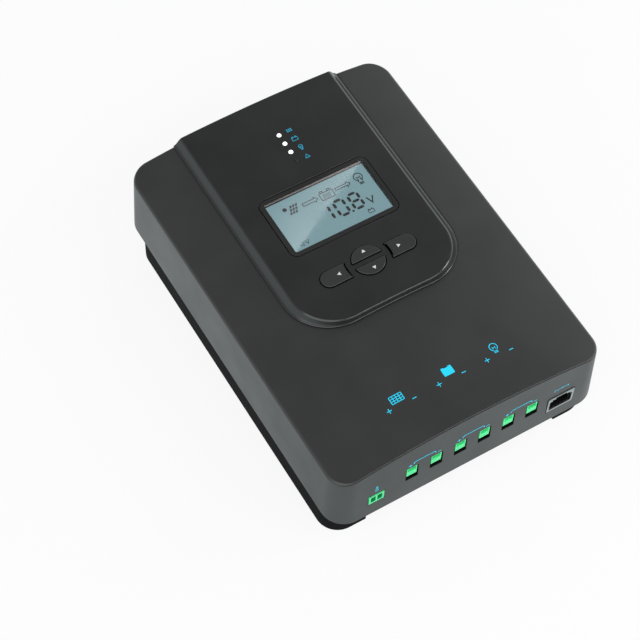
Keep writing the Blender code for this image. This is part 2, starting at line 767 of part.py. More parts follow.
def make_display_panel():
    """Raised panel on the crown, with seats for the window, keys and lights."""
    side = PANEL_WIDTH / 2
    foot = crown_height(side + PANEL_SIDE_LEAN * (PANEL_TOP - CROWN_TOP + CROWN_RISE)) - CUT_MARGIN
    high = PANEL_TOP + CUT_MARGIN
    panel = prism("display_panel", panel_outline(foot), foot, high, panel_outline(high))
    reach = BODY_LENGTH / 2 + CUT_MARGIN
    xs = [side * (2 * step / CROWN_STEPS - 1) * 2 for step in range(CROWN_STEPS + 1)]
    arch = [(-2 * side, foot - CUT_MARGIN), (2 * side, foot - CUT_MARGIN)]
    arch += [(x, panel_height(x)) for x in reversed(xs)]
    keep_common(panel, prism_along_y("panel_arch", arch, -reach, reach))
    seat = crown_outline(-FIT_GAP, EDGE_RADIUS)
    cut(panel, prism_along_y("crown_seat", seat, -reach, reach))
    pocket_x = side - POCKET_RIM
    low, top = aperture()
    cut(panel, box("panel_pocket", (-pocket_x, PANEL_FRONT + POCKET_RIM, foot - CUT_MARGIN),
                   (pocket_x, top[1] + COVER_RIM - POCKET_RIM, POCKET_TOP)))
    fuse(panel, cylinders("board_posts", BOARD_POST, DISPLAY_BOARD_TOP + FIT_GAP,
                          POCKET_TOP + WINDOW_LEDGE / 2, post_places()))
    recess = shifted(rounded_rectangle(WINDOW_WIDTH + 2 * FIT_GAP, WINDOW_LENGTH + 2 * FIT_GAP,
                                       WINDOW_CORNER + FIT_GAP), 0.0, WINDOW_Y)
    cut(panel, prism("window_recess", recess, WINDOW_TOP - WINDOW_THICKNESS - FIT_GAP, high))
    cut(panel, box("view_opening", (-VIEW_WIDTH / 2, WINDOW_Y - VIEW_LENGTH / 2, DISPLAY_SEAT),
                   (VIEW_WIDTH / 2, WINDOW_Y + VIEW_LENGTH / 2, high)))
    for name in KEYS:
        cut(panel, prism(f"{name}_key_hole", key_outline(name, FIT_GAP), SWITCH_TOP, high))
    cut(panel, cylinders("light_holes", LIGHT_DIAMETER + 2 * FIT_GAP, SWITCH_TOP, high,
                         light_places()))
    return register(panel, "dark_plastic")


def plate_at_window(name, border_width, border_length, low, high):
    """Make a flat plate centred under the window, larger than the view by the borders."""
    x = VIEW_WIDTH / 2 + border_width
    y = VIEW_LENGTH / 2 + border_length
    return box(name, (-x, WINDOW_Y - y, low), (x, WINDOW_Y + y, high))


def make_display():
    """Window, liquid crystal module, backlight and display board, from the top down."""
    outline = shifted(rounded_rectangle(WINDOW_WIDTH, WINDOW_LENGTH, WINDOW_CORNER),
                      0.0, WINDOW_Y)
    window = prism("display_window", outline, WINDOW_TOP - WINDOW_THICKNESS, WINDOW_TOP)
    register(window, "clear_window")
    module = plate_at_window("lcd_module", LCD_BORDER, LCD_BORDER,
                             HUNG_TOP - LCD_THICKNESS, HUNG_TOP)
    register(module, "display_glass")
    border = LCD_BORDER + BACKLIGHT_BORDER
    backlight = plate_at_window("lcd_backlight", border, border, DISPLAY_SEAT, BACKLIGHT_TOP)
    register(backlight, "white_plastic")
    low, high = display_board_corners()
    board = box("display_board", (*low, DISPLAY_BOARD_BOTTOM), (*high, DISPLAY_BOARD_TOP))
    register(board, "green_board")


def make_key(name):
    """One key cap with the flange that keeps it under the panel and the stem on its switch."""
    x, y = key_centre(name)
    flange_bottom = HUNG_TOP - KEY_FLANGE_THICKNESS
    cap = shifted(key_outline(name, 0.0), -x, -y)
    key = prism(f"key_{name}", cap, flange_bottom, KEY_TOP, location=(x, y, 0.0))
    flange = prism(f"key_{name}_flange", key_outline(name, KEY_FLANGE), flange_bottom, HUNG_TOP)
    fuse(key, flange)
    stem = cylinder(f"key_{name}_stem", KEY_STEM, PLUNGER_TOP + FIT_GAP,
                    flange_bottom + KEY_FLANGE_THICKNESS / 2, (x, y, 0.0))
    fuse(key, stem)
    return register(key, "key_plastic")


def make_switch(name):
    """One key switch: its body on the display board and its moving plunger."""
    x, y = key_centre(name)
    half = SWITCH_SIZE / 2
    body = box(f"switch_{name}", (-half, -half, DISPLAY_SEAT), (half, half, SWITCH_TOP),
               (x, y, 0.0))
    bore = PLUNGER_DIAMETER + 2 * FIT_GAP
    cut(body, cylinder(f"switch_{name}_bore", bore, PLUNGER_BOTTOM - KEY_TRAVEL - FIT_GAP,
                       SWITCH_TOP + CUT_MARGIN, (x, y, 0.0)))
    register(body, "black_plastic")
    plunger = cylinder(f"plunger_{name}", PLUNGER_DIAMETER, PLUNGER_BOTTOM, PLUNGER_TOP,
                       (x, y, 0.0))
    register(plunger, "white_plastic")


def make_light_pipes():
    """Four clear pipes that carry light from the display board to the panel's face."""
    shoulder = HUNG_TOP - LIGHT_FLANGE_THICKNESS
    stem = LIGHT_DIAMETER / 2
    profile = [
        (0.0, PANEL_TOP),
        (stem, PANEL_TOP),
        (stem, HUNG_TOP),
        (LIGHT_FLANGE / 2, HUNG_TOP),
        (LIGHT_FLANGE / 2, shoulder),
        (stem, shoulder),
        (stem, DISPLAY_SEAT),
        (0.0, DISPLAY_SEAT),
    ]
    for number, (x, y) in enumerate(light_places(), start=1):
        register(turned(f"light_pipe_{number}", profile, (x, y, 0.0)), "clear_plastic")


# Main board and its components

def make_main_board():
    """Main circuit board on the heat sink's posts."""
    front, back = board_ends()
    half = BOARD_WIDTH / 2
    board = box("main_board", (-half, front, BOARD_BOTTOM),
                (half, back, BOARD_BOTTOM + BOARD_THICKNESS))
    return register(board, "green_board")


def capacitor_y():
    """Y of the capacitor row behind the terminals."""
    return TERMINAL_FACE + TERMINAL_DEPTH + CAPACITOR_FROM_TERMINALS


def make_power_parts():
    """Capacitors, inductors, and the transistors with their thermal sheet."""
    for number in range(1, CAPACITOR_COUNT + 1):
        place = ((number - (CAPACITOR_COUNT + 1) / 2) * CAPACITOR_PITCH, capacitor_y(), 0.0)
        can = cylinder(f"capacitor_{number}", CAPACITOR_DIAMETER, BOARD_SEAT,
                       BOARD_SEAT + CAPACITOR_HEIGHT, place)
        register(can, "black_plastic")
    back = board_ends()[1]
    for number, side in ((1, -1), (2, 1)):
        bpy.ops.mesh.primitive_torus_add(major_radius=INDUCTOR_RING, minor_radius=INDUCTOR_CORE,
                                         major_segments=ROUND_STEPS,
                                         minor_segments=ROUND_STEPS // 2)
        ring = bpy.context.object
        ring.name = f"inductor_{number}"
        ring.location = (side * INDUCTOR_SPACING / 2, back - INDUCTOR_FROM_BACK,
                         BOARD_SEAT + INDUCTOR_CORE)
        for collection in list(ring.users_collection):
            collection.objects.unlink(ring)
        register(ring, "ferrite_winding")
    row = capacitor_y() + TRANSISTOR_FROM_CAPACITORS
    width, length, thickness = TRANSISTOR_SIZE
    for number, side in ((1, -1), (2, 1)):
        package = box(f"power_transistor_{number}",
                      (-width / 2, -length / 2, TRANSISTOR_BOTTOM),
                      (width / 2, length / 2, TRANSISTOR_BOTTOM + thickness),
                      (side * TRANSISTOR_SPACING / 2, row, 0.0))
        register(package, "black_plastic")
    half = TRANSISTOR_SPACING / 2 + width
    sheet = box("thermal_sheet", (-half, row - PAD_SHEET_LENGTH / 2, SHEET_BOTTOM),
                (half, row + PAD_SHEET_LENGTH / 2, SHEET_BOTTOM + PAD_SHEET))
    register(sheet, "thermal_sheet")


def make_ribbon_cable():
    """Flat cable between the two boards, with a gentle sway."""
    low = BOARD_SEAT
    high = DISPLAY_BOARD_BOTTOM - FIT_GAP
    middle = aperture()[1][1] - RIBBON_FROM_BACK
    front = []
    back = []
    for step in range(RIBBON_STEPS + 1):
        share = step / RIBBON_STEPS
        y = middle + RIBBON_SWAY * math.sin(2 * math.pi * share)
        z = low + (high - low) * share
        front.append((y - RIBBON_THICKNESS / 2, z))
        back.append((y + RIBBON_THICKNESS / 2, z))
    outline = front + list(reversed(back))
    cable = prism_along_x("ribbon_cable", outline, -RIBBON_WIDTH / 2, RIBBON_WIDTH / 2)
    return register(cable, "ribbon_grey")


# Ports on the front edge

def make_terminal(index):
    """One terminal: green housing, clamp screw and clamp plate."""
    number = index + 1
    x = terminal_x(index)
    face = TERMINAL_FACE
    half = (TERMINAL_PITCH - TERMINAL_SPACE) / 2
    mouth = MOUTH_WIDTH / 2
    housing = box(f"terminal_{number}", (-half, face, BOARD_SEAT),
                  (half, face + TERMINAL_DEPTH, HOUSING_TOP), (x, 0.0, 0.0))
    fuse(housing, box(f"terminal_nose_{number}",
                      (x - mouth + FIT_GAP, front_outer(NOSE_TOP) + NOSE_SINK, MOUTH_TOP),
                      (x + mouth - FIT_GAP, face + CUT_MARGIN, NOSE_TOP)))
    clamp_start = face + CLAMP_SETBACK
    clamp_end = clamp_start + CLAMP_LENGTH
    screw_z = (RECESS_BOTTOM + RECESS_TOP) / 2
    cut(housing, box(f"wire_mouth_{number}",
                     (x - mouth, face - CUT_MARGIN, MOUTH_BOTTOM),
                     (x + mouth, face + MOUTH_DEPTH, MOUTH_TOP)))
    cut(housing, box(f"clamp_room_{number}",
                     (x - mouth, clamp_start - FIT_GAP, MOUTH_BOTTOM + MOUTH_HEIGHT / 2),
                     (x + mouth, clamp_end + FIT_GAP, CLAMP_ROOM_TOP)))
    cut(housing, box(f"screw_recess_{number}",
                     (x - RECESS_WIDTH / 2, front_outer(COVER_FOOT), RECESS_BOTTOM),
                     (x + RECESS_WIDTH / 2, face + RECESS_DEPTH, RECESS_TOP)))
    bore = turned(f"screw_bore_{number}",
                  [(0.0, 0.0), (CLAMP_SCREW_SHANK / 2 + FIT_GAP, 0.0),
                   (CLAMP_SCREW_SHANK / 2 + FIT_GAP, -CLAMP_SCREW_LENGTH - 2 * FIT_GAP),
                   (0.0, -CLAMP_SCREW_LENGTH - 2 * FIT_GAP)],
                  (x, face + RECESS_DEPTH - FIT_GAP, screw_z), axis="Y")
    cut(housing, bore)
    register(housing, "terminal_green")
    make_clamp_screw(number, x, face + RECESS_DEPTH - FIT_GAP, screw_z)
    plate = mouth - FIT_GAP
    clamp = box(f"clamp_plate_{number}", (-plate, clamp_start, 0.0),
                (plate, clamp_end, CLAMP_THICKNESS), (x, 0.0, MOUTH_TOP + FIT_GAP))
    register(clamp, "zinc_steel")


def make_clamp_screw(number, x, seat_y, z):
    """Slotted screw whose head lies in the housing's recess and whose axis runs along Y."""
    profile = [
        (0.0, CLAMP_HEAD_HEIGHT),
        (CLAMP_SCREW_HEAD / 2, CLAMP_HEAD_HEIGHT),
        (CLAMP_SCREW_HEAD / 2, 0.0),
        (CLAMP_SCREW_SHANK / 2, 0.0),
        (CLAMP_SCREW_SHANK / 2, -CLAMP_SCREW_LENGTH),
        (0.0, -CLAMP_SCREW_LENGTH),
    ]
    screw = turned(f"clamp_screw_{number}", profile, (x, seat_y, z), axis="Y")
    head_y = seat_y - CLAMP_HEAD_HEIGHT
    cut(screw, box(f"screw_slot_{number}",
                   (x - CLAMP_SCREW_HEAD, head_y - CUT_MARGIN, z - SLOT_WIDTH / 2),
                   (x + CLAMP_SCREW_HEAD, head_y + SLOT_DEPTH, z + SLOT_WIDTH / 2)))
    return register(screw, "zinc_steel")


def make_sensor_socket():
    """Two-hole socket: a foot on the main board and a nose in the cover's opening."""
    low = BOARD_SEAT + SENSOR_LIFT
    high = low + SENSOR_HEIGHT
    nose_face = front_outer(low)
    body_face = front_inner(high) + 2 * FIT_GAP
    half = SENSOR_WIDTH / 2
    socket = box("sensor_socket", (SENSOR_X - half, nose_face, low),
                 (SENSOR_X + half, body_face + SENSOR_DEPTH, high))
    fuse(socket, box("sensor_foot", (SENSOR_X - half, body_face, BOARD_SEAT),
                     (SENSOR_X + half, body_face + SENSOR_DEPTH, (low + high) / 2)))
    middle = (low + high) / 2
    holes = []
    for side in (-1, 1):
        x = SENSOR_X + side * SENSOR_HOLE_PITCH / 2
        holes.append(((x - SENSOR_HOLE / 2, nose_face - CUT_MARGIN, middle - SENSOR_HOLE / 2),
                      (x + SENSOR_HOLE / 2, nose_face + SENSOR_HOLE_DEPTH,
                       middle + SENSOR_HOLE / 2)))
    cut(socket, boxes("sensor_holes", holes))
    return register(socket, "terminal_green")


def make_data_jack():
    """Data jack: a sheet metal shell and the black insert that takes the plug."""
    low = BOARD_SEAT
    high = low + JACK_HEIGHT
    face = front_outer(low)
    back = face + JACK_DEPTH
    half = JACK_WIDTH / 2
    shell = box("data_jack_shell", (JACK_X - half, face, low), (JACK_X + half, back, high))
    room = half - JACK_SHEET
    cut(shell, box("jack_room", (JACK_X - room, face + JACK_SHEET, low + JACK_SHEET),
                   (JACK_X + room, back + CUT_MARGIN, high - JACK_SHEET)))
    sill = low + JACK_MOUTH_SILL
    roof = sill + JACK_MOUTH_HEIGHT
    stepped_mouth(shell, "jack", face - CUT_MARGIN, face + JACK_SHEET + CUT_MARGIN / 4, sill, roof,
                  JACK_MOUTH_WIDTH, JACK_LATCH_WIDTH, JACK_LATCH_HEIGHT)
    register(shell, "zinc_steel")
    body = room - FIT_GAP
    start = face + JACK_SHEET + FIT_GAP
    floor = low + JACK_SHEET + FIT_GAP
    insert = box("data_jack_insert", (JACK_X - body, start, floor),
                 (JACK_X + body, back, high - JACK_SHEET - FIT_GAP))
    stepped_mouth(insert, "plug", start - CUT_MARGIN, start + PLUG_DEPTH, floor + PLUG_SILL,
                  floor + PLUG_SILL + PLUG_HEIGHT, PLUG_WIDTH, PLUG_LATCH_WIDTH,
                  PLUG_LATCH_HEIGHT)
    return register(insert, "black_plastic")


def stepped_mouth(target, name, start, end, low, high, width, latch_width, latch_height):
    """Cut a jack mouth with a narrower latch step on top."""
    half = width / 2
    step = latch_width / 2
    outline = [
        (JACK_X - half, low), (JACK_X + half, low), (JACK_X + half, high),
        (JACK_X + step, high), (JACK_X + step, high + latch_height),
        (JACK_X - step, high + latch_height), (JACK_X - step, high), (JACK_X - half, high),
    ]
    cut(target, prism_along_y(f"{name}_mouth", outline, start, end))


def main():
    """Build the whole controller."""
    global PARTS, CUTTERS
    clear_scene()
    PARTS = make_collection("charge_controller")
    CUTTERS = make_collection("cutters")
    make_materials()
    make_heatsink()
    make_top_cover()
    make_cover_screws()
    make_display_panel()
    make_display()
    for name in KEYS:
        make_key(name)
        make_switch(name)
    make_light_pipes()
    make_main_board()
    make_power_parts()
    make_ribbon_cable()
    for index in range(TERMINAL_COUNT):
        make_terminal(index)
    make_sensor_socket()
    make_data_jack()


main()
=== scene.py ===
"""Looks of a solar charge controller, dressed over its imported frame.

Every piece is made in metres in the frame's own axes: X along the terminal edge, the terminal
face towards -Y, Z up from the heat sink. The pieces replace the frame's plain solids where the
eye reaches them, and the solids inside keep their shape and get a finish.
"""

import logging
import math
from dataclasses import dataclass, field, replace
from enum import Enum
from functools import lru_cache
from typing import Callable, Iterable, Mapping, Optional, Protocol, Sequence, Union

import bmesh
import bpy
from mathutils import Matrix, Vector


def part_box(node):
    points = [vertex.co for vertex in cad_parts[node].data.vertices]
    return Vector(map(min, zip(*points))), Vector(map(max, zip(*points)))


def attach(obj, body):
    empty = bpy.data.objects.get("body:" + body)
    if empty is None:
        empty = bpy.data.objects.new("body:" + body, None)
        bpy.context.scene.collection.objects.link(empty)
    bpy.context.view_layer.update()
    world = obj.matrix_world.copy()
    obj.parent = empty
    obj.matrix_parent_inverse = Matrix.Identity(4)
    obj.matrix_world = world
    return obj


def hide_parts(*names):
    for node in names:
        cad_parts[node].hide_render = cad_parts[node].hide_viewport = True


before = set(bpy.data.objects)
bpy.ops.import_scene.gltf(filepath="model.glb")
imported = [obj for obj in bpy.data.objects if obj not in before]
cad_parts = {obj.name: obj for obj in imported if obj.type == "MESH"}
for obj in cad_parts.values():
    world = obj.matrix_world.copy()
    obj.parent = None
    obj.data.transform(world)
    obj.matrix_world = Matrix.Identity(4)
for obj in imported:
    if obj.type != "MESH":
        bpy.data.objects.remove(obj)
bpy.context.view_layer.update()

LOG = logging.getLogger("charge_controller")
MERGE = 1e-6              # points nearer than this are one point
FIT_GAP = 0.0003          # clearance between pieces that meet
PAST = 0.001              # how far a helper shape runs past a face
SHARP = math.radians(32)  # edges that turn more than this stay sharp
BREAK = math.radians(40)  # edges that turn more than this are bevelled
BEND = math.radians(25)   # corners that bend more than this are rounded
ROUND_STEPS = 4           # segments of a round upper edge
TOP_INSET = 1.6           # inset of the flat beside a round edge, in radii
RIBBON_PITCH = 0.00127    # wire pitch of a flat cable

Point = tuple[float, float]
Triple = tuple[float, float, float]
Quad = tuple[float, float, float, float]
Colour = Triple
Station = tuple[float, Optional[float]]  # share of the front, angle on a corner
Level = Callable[[float], float]
Piece = bpy.types.Object
Material = bpy.types.Material
Tree = bpy.types.NodeTree
Node = bpy.types.Node
Socket = bpy.types.NodeSocket
Feed = Union[Socket, float, Sequence[float]]
Vert = bmesh.types.BMVert


class Slot(Enum):
    """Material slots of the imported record."""

    COVER = "cover_grey"
    PANEL = "panel_dark"
    SINK = "sink_black"
    WINDOW = "window_clear"
    LCD = "lcd_glass"
    LIGHT = "light_white"
    KEY = "key_dark"
    TERMINAL = "terminal_green"
    ZINC = "zinc"
    BLACK = "black_part"


class KeyName(Enum):
    """The four keys of the display panel."""

    UP = "up"
    DOWN = "down"
    RIGHT = "right"
    LEFT = "left"


class Facing(Enum):
    """Direction in which a turned piece's height runs."""

    UP = "up"
    FRONT = "front"

    def place(self, centre: Vector, across: float, along: float, height: float) -> Vector:
        """Set a point of a turned piece into the frame.

        Args:
            centre: Foot of the turned piece's axis.
            across: Distance from the axis along X.
            along: Distance from the axis at right angles to X.
            height: Distance along the axis.

        Returns:
            The point in the frame.
        """
        if self is Facing.UP:
            return centre + Vector((across, along, height))
        return centre + Vector((across, -height, along))


class Join(Enum):
    """How a helper shape changes a piece."""

    CUT = "DIFFERENCE"
    FUSE = "UNION"


class Pattern(Enum):
    """Surface patterns of the pieces inside the case."""

    TRACES = "traces"
    WINDING = "winding"
    SLEEVE = "sleeve"
    RIBBON = "ribbon"
    SPECKLE = "speckle"


# Outlines

def arc(centre: Point, radius: float, start: float, end: float, steps: int = 8) -> list[Point]:
    """Points on an arc.

    Args:
        centre: Middle of the arc.
        radius: Radius of the arc.
        start: First angle in degrees.
        end: Last angle in degrees.
        steps: Number of segments.

    Returns:
        The points from the first angle to the last.
    """
    points = []
    for step in range(steps + 1):
        angle = math.radians(start + (end - start) * step / steps)
        points.append((centre[0] + radius * math.cos(angle), centre[1] + radius * math.sin(angle)))
    return points


def rounded_rectangle(width: float, length: float, radius: float,
                      centre: Point = (0.0, 0.0), steps: int = 6) -> list[Point]:
    """Outline of a rectangle with round corners.

    Args:
        width: Size along the first axis.
        length: Size along the second axis.
        radius: Corner radius.
        centre: Middle of the rectangle.
        steps: Segments in each corner.

    Returns:
        The outline, anticlockwise.
    """
    x, y = width / 2 - radius, length / 2 - radius
    corners = ((x, y, 0), (-x, y, 90), (-x, -y, 180), (x, -y, 270))
    points: list[Point] = []
    for cx, cy, start in corners:
        points += arc((centre[0] + cx, centre[1] + cy), radius, start, start + 90, steps)
    return points


def moved(outline: Iterable[Point], dx: float, dy: float) -> list[Point]:
    """Outline moved by a distance on each axis."""
    return [(x + dx, y + dy) for x, y in outline]


def grown(outline: Sequence[Point], distance: float) -> list[Point]:
    """Outline moved outwards along its mitred corners.

    Args:
        outline: Anticlockwise outline.
        distance: How far it moves out, or in where it is negative.

    Returns:
        The new outline, with as many points.
    """
    made = []
    count = len(outline)
    for index, point in enumerate(outline):
        here = Vector(point)
        before = (here - Vector(outline[index - 1])).normalized()
        after = (Vector(outline[(index + 1) % count]) - here).normalized()
        normal_a = Vector((before.y, -before.x))
        normal_b = Vector((after.y, -after.x))
        mitre = normal_a + normal_b
        mitre = mitre * (2 / max(mitre.length_squared, 0.3))
        made.append(tuple(here + mitre * distance))
    return made


def softened(outline: Sequence[Point], radius: float, steps: int = 4) -> list[Point]:
    """Outline with its sharp corners rounded.

    Args:
        outline: Outline with sharp corners.
        radius: Radius of the new corners.
        steps: Segments in each new corner.

    Returns:
        The rounded outline.
    """
    made: list[Point] = []
    count = len(outline)
    for index, point in enumerate(outline):
        here = Vector(point)
        before = Vector(outline[index - 1]) - here
        after = Vector(outline[(index + 1) % count]) - here
        bend = math.pi - before.angle(after)
        if bend < BEND:
            made.append(point)
            continue
        trim = min(radius * math.tan(bend / 2), 0.45 * before.length, 0.45 * after.length)
        first = here + before.normalized() * trim
        last = here + after.normalized() * trim
        for step in range(steps + 1):
            share = step / steps
            made.append(tuple(first * (1 - share) ** 2 + here * (2 * share * (1 - share))
                              + last * share ** 2))
    return made


def upright(outline: Iterable[Point], y: float) -> list[Vector]:
    """XZ outline stood up at a distance along Y."""
    return [Vector((u, y, v)) for u, v in outline]


def smooth_step(value: float) -> float:
    """Ease a value from 0 to 1."""
    value = min(max(value, 0.0), 1.0)
    return value * value * (3 - 2 * value)


def rounded_turn(first: Vector, corner: Vector, last: Vector, steps: int = 6) -> list[Vector]:
    """Points of a round edge.

    Args:
        first: Where the round starts.
        corner: The sharp edge that it replaces.
        last: Where the round ends.
        steps: Number of segments.

    Returns:
        The points from the first to the last, both included.
    """
    weight = math.sqrt(0.5)
    points = []
    for step in range(steps + 1):
        share = step / steps
        a, b, c = (1 - share) ** 2, 2 * weight * share * (1 - share), share ** 2
        points.append((first * a + corner * b + last * c) / (a + b + c))
    return points


def thread(radius: float, root: float, start: float, run: float, turns: int) -> list[Point]:
    """Profile of a thread.

    Args:
        radius: Radius of its crests.
        root: Share of that radius at its roots.
        start: Height of the first turn.
        run: Height of all the turns.
        turns: Number of turns.

    Returns:
        The (radius, height) points of crests and roots by turns.
    """
    step = run / turns
    return [(radius * share, start + (turn + rise) * step) for turn in range(turns)
            for share, rise in ((1.0, 0.0), (root, 0.5))]


def four_corners(x: float, y: float, middle: float) -> list[Vector]:
    """Feet of four uprights at equal distances from the centre line and from a middle."""
    return [Vector((sx * x, middle + sy * y, 0.0)) for sx in (-1, 1) for sy in (-1, 1)]


# Forms and the surfaces that marks are printed on

@dataclass(frozen=True)
class CaseForm:
    """Main form of the cover and of the display panel on it."""

    width: float = 0.173
    length: float = 0.238
    corner: float = 0.014
    foot: float = 0.018
    crown_top: float = 0.0684
    crown_rise: float = 0.0084
    draft: float = 0.04
    wall: float = 0.0025
    panel_top: float = 0.072
    panel_width: float = 0.0964
    panel_arch: float = 0.0016
    panel_front: float = -0.0348
    panel_corner: float = 0.025
    corner_lean: float = 0.6
    side_lean: float = 0.77
    front_lean: float = 0.17
    base_y: float = -0.00275

    def crown(self, x: float) -> float:
        """Height of the cover's top at a distance from the centre line."""
        return self.crown_top - self.crown_rise * (2 * x / self.width) ** 2

    def panel(self, x: float) -> float:
        """Height of the panel's top at a distance from the centre line."""
        return self.panel_top - self.panel_arch * (2 * x / self.panel_width) ** 2

    def lean(self, z: float) -> float:
        """How far the cover's wall has moved in at a height."""
        return self.draft * (z - self.foot)

    def front(self, z: float) -> float:
        """Y of the cover's front face at a height."""
        return self.lean(z) - self.length / 2


class Surface(Protocol):
    """A surface that flat marks are laid on."""

    def place(self, u: float, v: float, lift: float) -> Vector:
        """Point at (u, v) of the mark, raised above the surface."""


@dataclass(frozen=True)
class TopSurface:
    """A top whose height depends on X alone."""

    height: Level

    def place(self, u: float, v: float, lift: float) -> Vector:
        """Point at (u, v) of the mark, raised above the top."""
        return Vector((u, v, self.height(u) + lift))


@dataclass(frozen=True)
class FrontSurface:
    """The cover's front face, with u along X and v along Z."""

    form: CaseForm

    def place(self, u: float, v: float, lift: float) -> Vector:
        """Point at (u, v) of the mark, in front of the face."""
        return Vector((u, self.form.front(v) - lift, v))


# Meshes

class Shell:
    """A closed mesh under construction, with its rounded edges marked as worn."""

    def __init__(self, name: str) -> None:
        """Start an empty mesh under a piece's name.

        Args:
            name: Name of the piece or helper.
        """
        self.name = name
        self.bm = bmesh.new()
        self.edge = self.bm.faces.layers.float.new("edge")

    def ring(self, points: Iterable[Sequence[float]]) -> list[Vert]:
        """Add a row of points and return its vertices."""
        return [self.bm.verts.new(point) for point in points]

    def face(self, verts: Sequence[Vert], slot: int = 0, worn: float = 0.0) -> None:
        """Add one face.

        Args:
            verts: Corners of the face.
            slot: Index of its material.
            worn: 1 on an edge that is rubbed, 0 elsewhere.
        """
        face = self.bm.faces.new(verts)
        face.material_index = slot
        face.smooth = True
        face[self.edge] = worn

    def bridge(self, low: Sequence[Vert], high: Sequence[Vert],
               slot: int = 0, worn: float = 0.0) -> None:
        """Join two closed rows of points with four-sided faces.

        Args:
            low: First row.
            high: Second row, with as many points.
            slot: Index of the material.
            worn: 1 on an edge that is rubbed, 0 elsewhere.
        """
        for index in range(len(low)):
            after = (index + 1) % len(low)
            self.face((low[index], low[after], high[after], high[index]), slot, worn)

    def loft(self, rings: Sequence[Sequence[Sequence[float]]], slot: int = 0,
             slots: Optional[Sequence[int]] = None, worn: Sequence[int] = (),
             caps: tuple[bool, bool] = (True, True)) -> list[list[Vert]]:
        """Join closed rows of points one after another.

        Args:
            rings: The rows, each with as many points.
            slot: Material index of the faces.
            slots: Material index of each band, where they differ.
            worn: Numbers of the bands that are rubbed edges.
            caps: Whether the first and the last row are closed with a face.

        Returns:
            The vertices of each row.
        """
        loops = [self.ring(points) for points in rings]
        for index, (low, high) in enumerate(zip(loops, loops[1:])):
            self.bridge(low, high, slots[index] if slots else slot, 1.0 if index in worn else 0.0)
        if caps[0]:
            self.face(list(reversed(loops[0])), slot)
        if caps[1]:
            self.face(loops[-1], slot)
        return loops

    def mound(self, rings: Sequence[Sequence[Vector]], slots: Optional[Sequence[int]] = None,
              worn: Sequence[int] = ()) -> "Shell":
        """Join rows whose second half mirrors the first, with strips across both ends.

        Args:
            rings: The rows, each with as many points.
            slots: Material index of each band, where they differ.
            worn: Numbers of the bands that are rubbed edges.

        Returns:
            The same mesh.
        """
        loops = self.loft(rings, slots=slots, worn=worn, caps=(False, False))
        for loop in (loops[0], loops[-1]):
            for index in range(len(loop) // 2 - 1):
                self.face((loop[index], loop[index + 1], loop[-index - 2], loop[-index - 1]))
        return self

    def prism(self, outline: Sequence[Point], low: float, high: Union[float, Level],
              round_top: float = 0.0, round_foot: float = 0.0, slot: int = 0,
              side: Optional[int] = None) -> "Shell":
        """Stand an outline up between two levels, with round upper and lower edges.

        Args:
            outline: Anticlockwise XY outline.
            low: Lower level.
            high: Upper level, or a function of x.
            round_top: Radius of the upper edge.
            round_foot: Radius of the lower edge.
            slot: Index of the material.
            side: Index of the upright side's material, where it differs.

        Returns:
            The same mesh.
        """
        def ring(inset: float, level: Union[float, Level], lift: float) -> list[Vector]:
            """The outline, moved in and lifted over a level.

            Args:
                inset: How far it is moved in.
                level: The level, or a function of x.
                lift: How far it stands over the level.

            Returns:
                The row of points.
            """
            shape = grown(outline, -inset) if inset else outline
            return [Vector((x, y, (level(x) if callable(level) else level) + lift))
                    for x, y in shape]

        rings, worn = [], []
        if round_foot:
            rings.append(ring(round_foot, low, 0.0))
            worn.append(0)
        rings.append(ring(0.0, low, round_foot))
        if round_top:
            for step in range(ROUND_STEPS + 1):
                angle = math.radians(90 * step / ROUND_STEPS)
                rings.append(ring(round_top * (1 - math.cos(angle)), high,
                                  round_top * (math.sin(angle) - 1)))
                if step:
                    worn.append(len(rings) - 2)
        rings.append(ring(TOP_INSET * round_top, high, 0.0))
        slots = [slot] * (len(rings) - 1)
        if side is not None:
            slots[1 if round_foot else 0] = side
        self.loft(rings, slot=slot, slots=slots, worn=worn)
        return self

    def box(self, low: Sequence[float], high: Sequence[float], slot: int = 0) -> "Shell":
        """Add a box between two corners."""
        outline = [(low[0], low[1]), (high[0], low[1]), (high[0], high[1]), (low[0], high[1])]
        return self.prism(outline, low[2], high[2], slot=slot)

    def turned(self, profile: Sequence[Point], centre: Vector, facing: Facing = Facing.UP,
               steps: int = 32) -> "Shell":
        """Turn a profile about an axis into a closed body.

        Args:
            profile: (radius, height) points from one end of the axis to the other.
            centre: Foot of the axis.
            facing: Direction of the axis.
            steps: Segments round the axis.

        Returns:
            The same mesh.
        """
        turn = [2 * math.pi * step / steps for step in range(steps)]
        rings = [[facing.place(centre, radius * math.cos(a), radius * math.sin(a), height)
                  for a in turn] for radius, height in profile]
        self.loft(rings, caps=(False, False))
        return self

    def to_object(self, *finishes: Material) -> Piece:
        """Close the mesh and turn it into an object.

        Args:
            finishes: Materials in the order of the faces' indices.

        Returns:
            The new object, at the origin.
        """
        bmesh.ops.remove_doubles(self.bm, verts=self.bm.verts, dist=MERGE)
        bmesh.ops.recalc_face_normals(self.bm, faces=self.bm.faces)
        mesh = bpy.data.meshes.new(self.name)
        self.bm.to_mesh(mesh)
        self.bm.free()
        for finish in finishes:
            mesh.materials.append(finish)
        return linked(self.name, mesh)


def linked(name: str, data: bpy.types.ID) -> Piece:
    """New object of a mesh, lamp or camera, in the scene.

    Args:
        name: Name of the object.
        data: Its mesh, lamp or camera.

    Returns:
        The object.
    """
    made = bpy.data.objects.new(name, data)
    bpy.context.scene.collection.objects.link(made)
    return made


